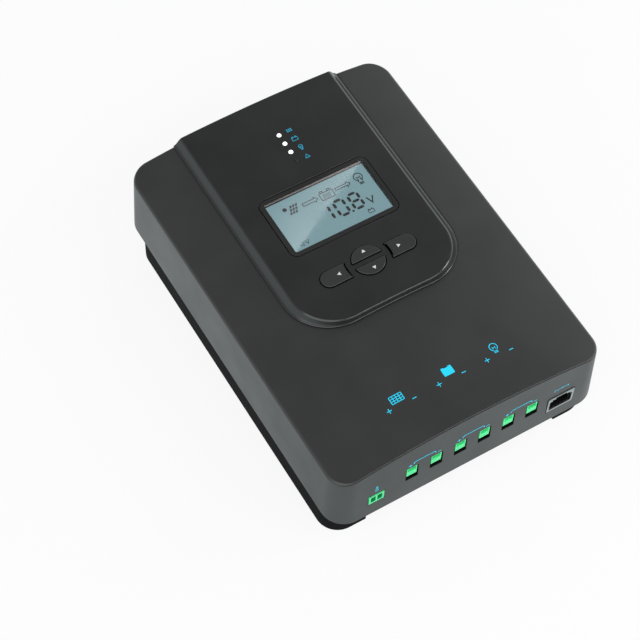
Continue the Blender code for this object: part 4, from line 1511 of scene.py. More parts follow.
    def digit(self, lit: str, corner: Point, width: float, height: float, bar: float,
              slant: float = 0.0) -> None:
        """Print the lit bars of a seven-segment digit.

        Args:
            lit: Letters of the bars, a to g from the top clockwise and then the middle.
            corner: Lower left corner.
            width: Size across.
            height: Size up.
            bar: Width of a bar.
            slant: Shift of the upper edge for each unit of height.
        """
        u0, u1 = bar / 2, width - bar / 2
        v0, v1, v2 = bar / 2, height / 2, height - bar / 2
        ends = {"a": ((u0, v2), (u1, v2)), "b": ((u1, v1), (u1, v2)), "c": ((u1, v0), (u1, v1)),
                "d": ((u0, v0), (u1, v0)), "e": ((u0, v0), (u0, v1)), "f": ((u0, v1), (u0, v2)),
                "g": ((u0, v1), (u1, v1))}
        for letter in lit:
            start, stop = Vector(ends[letter][0]), Vector(ends[letter][1])
            along = (stop - start).normalized()
            side = Vector((-along.y, along.x)) * bar / 2
            start, stop = start + along * bar * 0.32, stop - along * bar * 0.32
            ring = [start, start + along * bar / 2 - side, stop - along * bar / 2 - side, stop,
                    stop - along * bar / 2 + side, start + along * bar / 2 + side]
            self.polygon([(corner[0] + p.x + slant * p.y, corner[1] + p.y) for p in ring])


# Sub-assemblies

class Build(Protocol):
    """A sub-assembly that makes its pieces and hands them to the frame."""

    def build(self) -> None:
        """Make, dress and hand over the pieces."""


@dataclass
class TopCover:
    """Crowned, drafted cover with soft side edges and a crisp lip over the terminal face."""

    form: CaseForm
    finishes: FinishLibrary
    panel: "DisplayPanel"
    soft_edge: float = 0.0016
    crisp_edge: float = 0.0004
    step: float = 0.0003
    step_drop: float = 0.0006
    foot_chamfer: float = 0.0004
    seat_gap: float = 0.0008
    seat_depth: float = 0.00022
    seat_clear: float = 0.006
    run_steps: int = 28
    arc_steps: int = 10
    crisp_from: float = 0.2
    ledge_band: float = 0.0006
    ledge_slope: float = 0.00004
    wire_port: Quad = (-0.03835, 0.0407, 0.0078, 0.0120)
    wire_pitch: float = 0.0154
    wire_count: int = 6
    end_ports: tuple[Quad, Quad] = ((-0.0605, 0.03355, 0.0102, 0.0083),
                                    (0.0581, 0.0345, 0.0178, 0.0142))
    port_corner: float = 0.0004
    port_flare: float = 0.0002
    port_reach: Triple = (0.006, -0.003, 0.002)
    aperture: Quad = (-0.03945, -0.0263, 0.03945, 0.0968)
    aperture_levels: Point = (0.039, 0.072)
    boss_places: Point = (0.0775, 0.08905)
    boss_levels: Triple = (0.0223, 0.0336, 0.0604)
    boss_radii: Point = (0.0018, 0.004)

    def stations(self) -> list[tuple[Vector, Vector, float]]:
        """Places round the foot of the wall, from the left end of the front.

        Returns:
            Each place's point, its outward direction, and how crisp its upper edge is.
        """
        x = self.form.width / 2 - self.form.corner
        y = self.form.length / 2 - self.form.corner
        shares = [step / self.arc_steps for step in range(self.arc_steps + 1)]
        front = [(-x, 180 + 90 * share, share) for share in shares[:-1]]
        front += [(x * (2 * step / self.run_steps - 1), 270.0, 1.0)
                  for step in range(self.run_steps + 1)]
        front += [(x, 270 + 90 * share, 1 - share) for share in shares[1:]]
        places = []
        for across, angle, share in front:
            out = Vector((math.cos(math.radians(angle)), math.sin(math.radians(angle))))
            crisp = smooth_step((share - self.crisp_from) / (1 - self.crisp_from))
            places.append((Vector((across, -y)) + out * self.form.corner, out, crisp))
        back = [(Vector((p.x, -p.y)), Vector((n.x, -n.y)), crisp)
                for p, n, crisp in reversed(places)]
        return places + back

    def wall(self, point: Vector, out: Vector, z: float, inset: float = 0.0) -> Vector:
        """Point of the wall at a height, moved in by an inset."""
        place = point - out * (self.form.lean(z) + inset)
        return Vector((place.x, place.y, z))

    def profile(self, point: Vector, out: Vector, crisp: float) -> list[Vector]:
        """Points of the wall's section at one place, from the inner roof round to the crown.

        Args:
            point: Place on the foot of the wall.
            out: Outward direction there.
            crisp: 1 where the upper edge is crisp, 0 where it is soft.

        Returns:
            The section's points.
        """
        form = self.form
        edge = self.wall(point, out, form.crown_top)
        for _ in range(5):
            edge = self.wall(point, out, form.crown(edge.x))
        radius = self.crisp_edge + (self.soft_edge - self.crisp_edge) * (1 - crisp)
        inner = self.wall(point, out, edge.z - form.wall, form.wall)
        inner.z = form.crown(inner.x) - form.wall
        inset = self.step * crisp
        flat = Vector((out.x, out.y, 0.0))
        lip, last = edge - flat * inset, edge - flat * (inset + radius)
        lip.z, last.z = form.crown(lip.x), form.crown(last.x)
        start = lip.z - radius
        ledge = start - self.step_drop
        points = [
            inner,
            self.wall(point, out, form.foot, form.wall),
            self.wall(point, out, form.foot, self.foot_chamfer),
            self.wall(point, out, form.foot + self.foot_chamfer),
            self.wall(point, out, ledge - self.ledge_band),
            self.wall(point, out, ledge),
            self.wall(point, out, ledge + self.ledge_slope, inset),
        ]
        return points + rounded_turn(self.wall(point, out, start, inset), lip, last)

    def seat_cutter(self) -> Shell:
        """Helper shape of the shallow seat that the display panel's foot stands in.

        Returns:
            The helper's mesh.
        """
        front = self.panel.foot_outline(self.seat_gap)
        outline = front + [(x, self.form.length / 2 + PAST) for x, _ in reversed(front)]
        return Shell("seat_cutter").mound(
            [[Vector((x, y, self.form.crown(x) + lift)) for x, y in outline]
             for lift in (-self.seat_depth, self.seat_clear)])

    def port_cutter(self) -> Shell:
        """Helper shape of the openings in the front wall, with a flared mouth.

        Returns:
            The helper's mesh.
        """
        shell = Shell("port_cutter")
        flare = self.port_flare
        inner, outer, wide = self.port_reach
        for outline in self.port_outlines():
            rings = []
            for offset, spread in ((inner, 0.0), (flare, 0.0), (-flare, 2 * flare),
                                   (outer, wide)):
                shape = grown(outline, spread) if spread else outline
                rings.append([Vector((u, self.form.front(v) + offset, v)) for u, v in shape])
            # The ports' inner walls take the black finish: painted shade.
            shell.loft(rings, slot=1, slots=[1, 0, 0])
        return shell

    def port_outlines(self) -> list[list[Point]]:
        """XZ outlines of the openings: six wire ports, the sensor socket and the data jack.

        Returns:
            One outline for each opening.
        """
        x, z, width, height = self.wire_port
        ports = [(x + self.wire_pitch * index, z, width, height)
                 for index in range(self.wire_count)]
        return [rounded_rectangle(w, h, self.port_corner, (x, z), 3)
                for x, z, w, h in (*ports, *self.end_ports)]

    def build(self) -> None:
        """Make the cover, cut its openings and hand it over."""
        rings = list(zip(*(self.profile(*place) for place in self.stations())))
        bands = len(rings) - 1
        shell = Shell("cover_shell").mound(rings, worn=[2, *range(bands - 6, bands)])
        cover = shell.to_object(*self.finishes.some("cover", "gap"))
        combine(cover, self.seat_cutter())
        combine(cover, self.port_cutter())
        (x0, y0, x1, y1), (low, high) = self.aperture, self.aperture_levels
        combine(cover, Shell("aperture_cutter").box((x0, y0, low), (x1, y1, high)))
        bosses = Shell("boss_helper")
        (low, bore_top, high), (bore, radius) = self.boss_levels, self.boss_radii
        for foot in four_corners(*self.boss_places, self.form.base_y):
            bosses.turned([(bore, low), (radius, low), (radius, high), (0.0, high),
                           (0.0, bore_top), (bore, bore_top), (bore, low)], foot)
        combine(cover, bosses, Join.FUSE)
        carry(polish(cover), "case", "top_cover", slot=Slot.COVER)


@dataclass
class DisplayPanel:
    """Raised panel with a polished bevel, its foot bead, and the openings for the controls."""

    form: CaseForm
    finishes: FinishLibrary
    keys: "KeyGroup"
    lights: "IndicatorLights"
    top_round: float = 0.0010
    bead_out: float = 0.0008
    bead_height: float = 0.0008
    bead_steps: int = 6
    skirt: float = 0.0003
    run_steps: int = 20
    arc_steps: int = 16
    window: Quad = (0.0706, 0.0426, 0.005, 0.069833)
    view: Triple = (0.0660, 0.0380, 0.0016)
    view_foot: float = 0.066
    window_y: float = 0.0344
    pocket: Quad = (-0.04295, -0.0298, 0.04295, 0.1003)
    pocket_corner: float = 0.012
    pocket_levels: Point = (0.05, 0.068833)
    key_gap: float = 0.0005
    control_foot: float = 0.067
    wide_break: float = 0.00015
    fine_break: float = 0.0001
    posts: Triple = (0.003, 0.062233, 0.069333)
    post_places: tuple[Point, ...] = ((-0.03345, -0.0203), (0.03345, -0.0203),
                                      (-0.03345, 0.0908), (0.03345, 0.0908))

    def outline_point(self, station: Station, z: float, inset: float) -> Vector:
        """Point of the panel's front and side outline at a height.

        Args:
            station: Share along the front, and the angle where it is on a corner.
            z: Height.
            inset: How far the point is moved in.

        Returns:
            The point in XY.
        """
        form = self.form
        fall = form.panel_top - z
        corner = form.panel_corner + form.corner_lean * fall
        x = form.panel_width / 2 + form.side_lean * fall - corner
        y = form.panel_front - form.front_lean * fall + corner
        share, angle = station
        radius = corner - inset
        if angle is None:
            return Vector((share * x, y - radius))
        turn = math.radians(angle)
        return Vector((share * x + radius * math.cos(turn), y + radius * math.sin(turn)))

    def stations(self) -> list[Station]:
        """Places along the left corner, the front and the right corner.

        Returns:
            The places in order.
        """
        turns = [90 * step / self.arc_steps for step in range(self.arc_steps + 1)]
        front = [(2 * step / self.run_steps - 1, None) for step in range(self.run_steps + 1)]
        return ([(-1.0, 180 + turn) for turn in turns[:-1]] + front
                + [(1.0, 270 + turn) for turn in turns[1:]])

    def foot(self, station: Station) -> Vector:
        """Point where the panel's bevel reaches the cover.

        Args:
            station: Place on the outline.

        Returns:
            The point.
        """
        z = self.form.crown_top
        for _ in range(8):
            flat = self.outline_point(station, z, 0.0)
            z = self.form.crown(flat.x) + FIT_GAP
        return Vector((flat.x, flat.y, z))

    def foot_outline(self, gap: float) -> list[Point]:
        """Outline round the panel's foot from the left side to the right, with a gap."""
        return [tuple(self.outline_point(station, self.foot(station).z, -self.bead_out - gap))
                for station in self.stations()]

    def profile(self, station: Station) -> list[Vector]:
        """Points of the panel's section at one place, from the foot up to the top.

        Args:
            station: Place on the outline.

        Returns:
            The section's points.
        """
        form = self.form

        def at(z: float, inset: float) -> Vector:
            """Point of the outline in space."""
            flat = self.outline_point(station, z, inset)
            return Vector((flat.x, flat.y, z))

        edge = at(form.panel_top, 0.0)
        for _ in range(8):
            edge = at(form.panel(edge.x), 0.0)
        foot = self.foot(station)
        bead = at(foot.z, -self.bead_out)
        bead.z = form.crown(bead.x) + FIT_GAP * 0.3
        points = [bead - Vector((0, 0, self.skirt)), bead]
        for step in range(1, self.bead_steps + 1):
            turn = math.pi / 2 * step / self.bead_steps
            flat = self.outline_point(station, foot.z, -self.bead_out * math.cos(turn))
            points.append(Vector((flat.x, flat.y, bead.z + self.bead_height * math.sin(turn))))
        points.append(at(foot.z + self.bead_height * 1.5, 0.0))
        last = at(edge.z, self.top_round)
        last.z = form.panel(last.x)
        points += rounded_turn(at(edge.z - self.top_round, 0.0), edge, last, 5)
        rim = at(edge.z, self.top_round * 2)
        rim.z = form.panel(rim.x)
        return points + [rim]

    def back_point(self, point: Vector) -> Vector:
        """Partner of a point on the flush back face."""
        return Vector((point.x, self.form.length / 2 - self.form.lean(point.z), point.z))

    def shell(self) -> Piece:
        """Panel without its openings.

        Returns:
            The panel as one closed piece.
        """
        sections = [self.profile(station) for station in self.stations()]
        sections += [[self.back_point(point) for point in section]
                     for section in reversed(sections)]
        rings = list(zip(*sections))
        count = len(rings) - 1
        # The skirt under the bead takes the black finish: painted shade.
        shell = Shell("panel_shell").mound(
            rings, [2] + [1] * (count - 3) + [0, 0],
            [3, 4, 5, 6, count - 5, count - 4, count - 3])
        return shell.to_object(*self.finishes.some("panel", "bevel", "gap"))

    def opening(self, outline: Sequence[Point], shell: Shell, low: float, chamfer: float) -> None:
        """Add a helper shape whose upper edge is broken where it meets the panel's top.

        Args:
            outline: XY outline of the opening.
            shell: Mesh that the helper is added to.
            low: Level of its foot.
            chamfer: Width of the broken edge.
        """
        rings = []
        for level, spread in ((None, 0.0), (-chamfer, 0.0), (chamfer, 2 * chamfer),
                              (2 * PAST, 2 * chamfer)):
            shape = grown(outline, spread) if spread else outline
            rings.append([Vector((x, y, low if level is None else self.form.panel(x) + level))
                          for x, y in shape])
        # The walls of each opening below its broken edge take the black finish: painted shade.
        shell.loft(rings, slot=2, slots=[2, 0, 0])

    def build(self) -> None:
        """Make the panel, cut its openings and hand it over."""
        panel = self.shell()
        x0, y0, x1, y1 = self.pocket
        room = rounded_rectangle(x1 - x0, y1 - y0, self.pocket_corner,
                                 ((x0 + x1) / 2, (y0 + y1) / 2))
        combine(panel, Shell("pocket_cutter").prism(room, *self.pocket_levels))
        posts = Shell("post_helper")
        radius, low, high = self.posts
        for x, y in self.post_places:
            posts.turned([(0.0, low), (radius, low), (radius, high), (0.0, high)],
                         Vector((x, y, 0.0)), steps=24)
        combine(panel, posts, Join.FUSE)
        holes = Shell("control_cutter")
        for name in KeyName:
            self.opening(self.keys.outline(name, self.key_gap), holes, self.control_foot,
                         self.wide_break)
        for place in self.lights.places():
            ring = arc(place, self.lights.diameter / 2 + FIT_GAP * 0.6, 0, 360, 32)[:-1]
            self.opening(ring, holes, self.control_foot, self.fine_break)
        width, length, corner, level = self.window
        middle = (0.0, self.window_y)
        self.opening(rounded_rectangle(width, length, corner, middle), holes, level,
                     self.wide_break)
        combine(panel, holes)
        view = rounded_rectangle(*self.view, middle)
        combine(panel, Shell("view_cutter").prism(view, self.view_foot, level + PAST))
        carry(polish(panel), "case", "display_panel", slot=Slot.PANEL)


@dataclass
class KeyGroup:
    """Four keys round a centre: two half moons and two side keys."""

    form: CaseForm
    finishes: FinishLibrary
    centre_y: float = -0.0078
    disc: float = 0.0095
    split: float = 0.0037
    ring: float = 0.0138
    reach: float = 0.030
    breadth: float = 0.0104
    corner: float = 0.0007
    proud: float = 0.00065
    edge: float = 0.00035
    flange: float = 0.0009
    flange_levels: Point = (0.067533, 0.068533)
    stem: float = 0.002
    stem_foot: float = 0.066533
    mark: float = 0.00135
    marks: dict[KeyName, Triple] = field(default_factory=lambda: {
        KeyName.UP: (0.0002, -0.0018, 90.0),
        KeyName.DOWN: (0.0003, -0.0136, 270.0),
        KeyName.LEFT: (-0.0187, -0.0078, 180.0),
        KeyName.RIGHT: (0.0193, -0.0078, 0.0),
    })

    def outline(self, name: KeyName, grow: float) -> list[Point]:
        """Outline of one key.

        Args:
            name: Which key.
            grow: How far the outline is moved out.

        Returns:
            The outline in the frame, anticlockwise.
        """
        if name in (KeyName.UP, KeyName.DOWN):
            radius, base = self.disc, self.split / 2
            turn = math.degrees(math.asin(base / radius))
            points = arc((0.0, 0.0), radius, turn, 180 - turn, 28)
        else:
            half = self.breadth / 2
            turn = math.degrees(math.asin(half / self.ring))
            points = arc((0.0, 0.0), self.ring, turn, -turn, 12)
            points += arc((self.reach - half, 0.0), half, -90, 90, 16)
        points = softened(points, self.corner)
        if name in (KeyName.DOWN, KeyName.LEFT):
            points = [(-x, -y) for x, y in points]
        points = moved(points, 0.0, self.centre_y)
        return grown(points, grow) if grow else points

    def centre(self, name: KeyName) -> Point:
        """Middle of one key, over its switch.

        Args:
            name: Which key.

        Returns:
            The middle in XY.
        """
        side = (self.ring + self.reach) / 2
        rise = (self.split / 2 + self.disc) / 2
        offsets = {KeyName.UP: (0, rise), KeyName.DOWN: (0, -rise), KeyName.RIGHT: (side, 0),
                   KeyName.LEFT: (-side, 0)}
        return offsets[name][0], self.centre_y + offsets[name][1]

    def top(self, x: float) -> float:
        """Height of a key's face."""
        return self.form.panel(x) + self.proud

    def build(self) -> None:
        """Make the four keys, print their arrows and hand them over."""
        for name in KeyName:
            shell = Shell(f"key_cap_{name.value}")
            low, high = self.flange_levels
            # The keys' upright sides take the black finish: painted shade.
            shell.prism(self.outline(name, 0.0), high - 0.0001, self.top, round_top=self.edge,
                        side=2)
            shell.prism(self.outline(name, self.flange), low, high, round_top=0.0001)
            x, y = self.centre(name)
            shell.turned([(0.0, self.stem_foot), (self.stem - 0.0002, self.stem_foot),
                          (self.stem, self.stem_foot + 0.0002), (self.stem, low + 0.0001),
                          (0.0, low + 0.0001)], Vector((x, y, 0.0)), steps=24)
            u, v, turn = self.marks[name]
            SymbolPrinter(shell, TopSurface(self.top), slot=1).triangle((u, v), self.mark, turn)
            cap = shell.to_object(*self.finishes.some("key", "white", "gap"))
            carry(polish(cap), f"key_{name.value}_body", f"key_{name.value}", slot=Slot.KEY)


@dataclass
class IndicatorLights:
    """Row of domed light pipes, the three nearest the back edge lit."""

    form: CaseForm
    finishes: FinishLibrary
    count: int = 4
    first_y: float = 0.070
    pitch: float = 0.0067
    diameter: float = 0.0026
    flange: float = 0.0046
    levels: Triple = (0.062233, 0.067533, 0.068533)
    dome: float = 0.0008
    proud: float = 0.0004

    def places(self) -> list[Point]:
        """Centres of the lights."""
        return [(0.0, self.first_y + self.pitch * index) for index in range(self.count)]

    def build(self) -> None:
        """Make the light pipes and hand them over."""
        foot, low, high = self.levels
        radius = self.diameter / 2
        top = self.form.panel_top + self.proud
        dome = [(radius * math.cos(a), top - self.dome * (1 - math.sin(a)))
                for a in map(math.radians, (0, 20, 40, 60, 75, 90))]
        profile = [(0.0, foot), (radius - 0.0002, foot), (radius, foot + 0.0002), (radius, low),
                   (self.flange / 2, low), (self.flange / 2, high), (radius, high)]
        for index, (x, y) in enumerate(self.places()):
            shell = Shell(f"light_lens_{index + 1}")
            shell.turned(profile + dome, Vector((x, y, 0.0)), steps=32)
            lens = shell.to_object(self.finishes.get("lit" if index else "unlit"))
            carry(polish(lens), "case", f"light_pipe_{index + 1}", slot=Slot.LIGHT)


@dataclass
class Display:
    """Window pane with its printed border, and the liquid crystal behind it."""

    finishes: FinishLibrary
    centre_y: float = 0.034
    pane: Triple = (0.0697, 0.0417, 0.0045)
    pane_y: float = 0.0344
    sight: Quad = (-0.0318, 0.01645, 0.0324, 0.0525)
    film: Quad = (-0.0335, 0.0145, 0.0318, 0.0518)
    glass: Point = (0.0696, 0.0414)
    bar: float = 0.00165

    def build_window(self) -> None:
        """Make the pane and the satin border laid on it."""
        shell = Shell("window_pane")
        width, length, corner = self.pane
        low, high = (end.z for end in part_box("display_window"))
        outline = rounded_rectangle(width, length, corner, (0.0, self.pane_y), 8)
        shell.prism(outline, low, high, round_top=0.00003, round_foot=0.0001)
        x0, y0, x1, y1 = self.sight
        inner = rounded_rectangle(x1 - x0, y1 - y0, 0.0011, ((x0 + x1) / 2, (y0 + y1) / 2), 8)
        outer = grown(outline, -0.00002)
        rings = [[Vector((x, y, z)) for x, y in shape] for shape, z in
                 ((inner, high - 0.00003), (outer, high - 0.00003), (outer, high + 0.00003),
                  (inner, high + 0.00003))]
        loops = shell.loft(rings, slot=1, caps=(False, False))
        shell.bridge(loops[-1], loops[0], 1)
        pane = shell.to_object(*self.finishes.some("pane", "bezel"))
        carry(polish(pane), "case", "display_window", slot=Slot.WINDOW)

    def print_reading(self, printer: SymbolPrinter) -> None:
        """Print the reading and the signs of the display.

        Args:
            printer: Printer on the film's face.
        """
        y = self.centre_y
        printer.polygon(arc((-0.0223, y + 0.0114), 0.0013, 0, 360, 16)[:-1])
        printer.solar_cells((-0.0175, y + 0.00955), 0.0053, 0.0062, 3, 3, 0.425, 0.0005)
        printer.arrow((-0.01175, y + 0.0092), (-0.0022, y + 0.0092), 0.00095, 0.0020)
        printer.battery((0.0037, y + 0.00865), 0.0084, 0.0049, False)
        for step in range(6):
            u = 0.0011 + 0.00083 * step
            printer.path([(u, y + 0.0067), (u + 0.00085, y + 0.01)], line=0.0003)
        printer.arrow((0.00955, y + 0.00945), (0.0191, y + 0.00945), 0.0008, 0.00195)
        replace(printer, line=0.0006).bulb((0.0252, y + 0.01075), 0.00255)
        for lit, u in (("bc", -0.0070), ("abcdef", 0.00265), ("abcdefg", 0.0121)):
            printer.digit(lit, (u, y - 0.00872), 0.00745, 0.01205, self.bar)
        printer.polygon(arc((0.01099, y - 0.00807), 0.00075, 0, 360, 12)[:-1])
        printer.path([(0.02182, y - 0.00378), (0.02355, y - 0.00818), (0.02579, y - 0.00394)],
                     line=0.00085)
        printer.digit("bc", (-0.0277, y - 0.0146), 0.0018, 0.0028, 0.00045)
        printer.digit("abged", (-0.0254, y - 0.0146), 0.0018, 0.0028, 0.00045)
        printer.path([(-0.0229, y - 0.0118), (-0.0219, y - 0.0145), (-0.0207, y - 0.0118)],
                     line=0.0004)
        replace(printer, line=0.00035).battery((0.0199, y - 0.0129), 0.0034, 0.0021, False)

    def build_crystal(self) -> None:
        """Make the liquid crystal glass with its film, its lit marks and a strip of painted
        highlight.
        """
        shell = Shell("crystal_glass")
        low, high = (end.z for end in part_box("lcd_module"))
        middle = (0.0, self.centre_y)
        outline = rounded_rectangle(self.glass[0], self.glass[1], 0.0006, middle, 3)
        shell.prism(outline, low, high, round_top=0.0002, round_foot=0.0001)
        x0, y0, x1, y1 = self.film
        # The third strip, behind the film, glows pale: a painted highlight.
        for slot, near, far in ((1, y0, y1), (2, y1, y1 + 0.0009), (3, y1 + 0.0009, y1 + 0.0026)):
            strip = [(x0, near), (x1, near), (x1, far), (x0, far)]
            shell.prism(strip, high - 0.00005, high + 0.00004, slot=slot)
        face = TopSurface(lambda _u: high + 0.00004)
        self.print_reading(SymbolPrinter(shell, face, line=0.0005, slot=2))
        # The glass's body takes the paled edge colour: painted light.
        glass = shell.to_object(*self.finishes.some("glass_edge", "film", "segment", "strip"))
        carry(polish(glass), "case", "lcd_module", slot=Slot.LCD)

    def build(self) -> None:
        """Make the window and the liquid crystal."""
        self.build_window()
        self.build_crystal()


@dataclass
class WireTerminals:
    """Row of six wire terminals with their clamp screws."""

    finishes: FinishLibrary
    count: int = 6
    pitch: float = 0.0154
    width: float = 0.0144
    face: float = -0.114912
    depth: float = 0.018
    levels: Point = (0.0277, 0.0502)
    mouth: Triple = (0.0077, 0.0347, 0.0390)
    mouth_depth: float = 0.014
    nose: Triple = (0.0064, 0.0384, 0.0466)
    nose_face: float = -0.1178
    recess: Triple = (0.0051, 0.0425, 0.0462)
    recess_depth: float = 0.0032
    recess_corner: float = 0.0006
    recess_break: float = 0.00015
    room: Triple = (0.0040, 0.0132, 0.0408)
    room_rise: float = 0.002
    bore: Triple = (0.0015, 0.0020, 0.0125)
    edge: float = 0.0001
    screw_z: float = 0.0447
    head: Point = (0.00145, 0.002)
    shank: Point = (0.0012, 0.009)
    slot_size: Point = (0.0007, 0.001)

    def first_x(self) -> float:
        """Middle of the first terminal."""
        return -(self.count - 1) * self.pitch / 2

    def housing(self) -> Piece:
        """One housing about the centre line, with its wire mouth and screw recess.

        Returns:
            The housing.
        """
        half = self.width / 2
        low, high = self.levels
        shell = Shell("terminal_housing")
        shell.box((-half, self.face, low), (half, self.face + self.depth, high))
        obj = shell.to_object(self.finishes.get("terminal"))
        width, low, high = self.nose
        combine(obj, Shell("nose_helper").box((-width / 2, self.nose_face, low),
                                              (width / 2, self.face + PAST, high)), Join.FUSE)
        width, low, high = self.mouth
        combine(obj, Shell("mouth_cutter").box((-width / 2, self.face - PAST, low),
                                               (width / 2, self.face + self.mouth_depth, high)))
        back, end, top = self.room
        combine(obj, Shell("room_cutter").box((-width / 2, self.face + back, low + self.room_rise),
                                              (width / 2, self.face + end, top)))
        width, low, high = self.recess
        middle = (0.0, (low + high) / 2)
        outline = rounded_rectangle(width, high - low, self.recess_corner, middle, 3)
        wide = grown(outline, 2 * self.recess_break)
        slot = Shell("recess_cutter")
        slot.loft([upright(outline, self.face + self.recess_depth),
                   upright(outline, self.nose_face + self.recess_break),
                   upright(wide, self.nose_face - self.recess_break),
                   upright(wide, self.nose_face - PAST)])
        combine(obj, slot)
        radius, near, far = self.bore
        combine(obj, Shell("bore_cutter").turned(
            [(0.0, 0.0), (radius, 0.0), (radius, far - near), (0.0, far - near)],
            Vector((0.0, self.face + far, self.screw_z)), Facing.FRONT, steps=20))
        return polish(obj, self.edge)

    def clamp_screw(self) -> Piece:
        """One slotted clamp screw about the centre line.

        Returns:
            The screw.
        """
        radius, height = self.head
        shank, length = self.shank
        seat = self.face + self.recess_depth - FIT_GAP
        shell = Shell("clamp_screw")
        profile = [(0.0, -length), (shank * 0.7, -length), (shank, -length + 0.0006)]
        profile += thread(shank, 0.82, -length + 0.0008, length - 0.002, 10)
        profile += [(shank, -0.0008), (shank, 0.0), (radius - 0.0001, 0.0), (radius, 0.0001),
                    (radius, height - 0.0004), (radius - 0.00012, height - 0.00015),
                    (radius - 0.0004, height), (0.0, height)]
        shell.turned(profile, Vector((0.0, seat, self.screw_z)), Facing.FRONT, steps=28)
        screw = shell.to_object(self.finishes.get("zinc"))
        width, depth = self.slot_size
        combine(screw, Shell("slot_cutter").box(
            (-width / 2, seat - height - PAST, self.screw_z - 0.003),
            (width / 2, seat - height + depth, self.screw_z + 0.003)))
        return polish(screw)

    def build(self) -> None:
        """Make the row of housings and the six screws and hand them over."""
        start = Vector((self.first_x(), 0.0, 0.0))
        step = Vector((self.pitch, 0.0, 0.0))
        row = repeated(self.housing(), "terminal_row", Repeat.ROW, Count=self.count,
                       Start=start, Step=step)
        names = [f"terminal_{index + 1}" for index in range(self.count)]
        carry(row, "case", *names, slot=Slot.TERMINAL)
        screw = self.clamp_screw()
        for index in range(self.count):
            made = copied(screw, f"slotted_screw_{index + 1}", start + step * index)
            carry(made, f"clamp_screw_{index + 1}_body", f"clamp_screw_{index + 1}",
                  slot=Slot.ZINC)
        bpy.data.objects.remove(screw, do_unlink=True)


@dataclass
class SensorSocket:
    """Two-hole socket for the temperature sensor."""

    finishes: FinishLibrary
    x: float = -0.0605
    width: float = 0.0096
    nose: Triple = (-0.118532, 0.0297, 0.0374)
    hole: Point = (0.0030, 0.0052)
    hole_pitch: float = 0.0041
    hole_depth: float = 0.008
    hole_corner: float = 0.0005
    throat: float = 0.0019
    foot_setback: float = 0.0038
    contact: Quad = (0.0009, 0.0045, 0.0012, 0.0006)
    edge: float = 0.0002

    def build(self) -> None:
        """Make the socket with its holes and contacts and hand it over."""
        low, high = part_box("sensor_socket")
        face, bottom, top = self.nose
        half = self.width / 2
        shell = Shell("sensor_inlet")
        shell.box((self.x - half, face, bottom), (self.x + half, high.y, top))
        obj = shell.to_object(*self.finishes.some("terminal", "zinc", "gap", "throat"))
        combine(obj, Shell("foot_helper").box((low.x, face + self.foot_setback, low.z),
                                              (high.x, high.y, bottom + PAST)), Join.FUSE)
        holes, contacts = Shell("hole_cutter"), Shell("contact_helper")
        middle = (bottom + top) / 2
        reach, start, under, over = self.contact
        for side in (-1, 1):
            x = self.x + side * self.hole_pitch / 2
            outline = rounded_rectangle(*self.hole, self.hole_corner, (x, middle), 3)
            # Deep walls of the holes take the black finish and their throats the darker green: both
            # painted shade.
            holes.loft([upright(outline, face + depth)
                        for depth in (self.hole_depth, self.throat, -PAST)], slot=2, slots=[2, 3])
            contacts.box((x - reach, face + start, middle - under),
                         (x + reach, face + self.hole_depth + PAST, middle - over), slot=1)
        combine(obj, holes)
        combine(obj, contacts, Join.FUSE)
        carry(polish(obj, self.edge), "case", "sensor_socket", slot=Slot.TERMINAL)


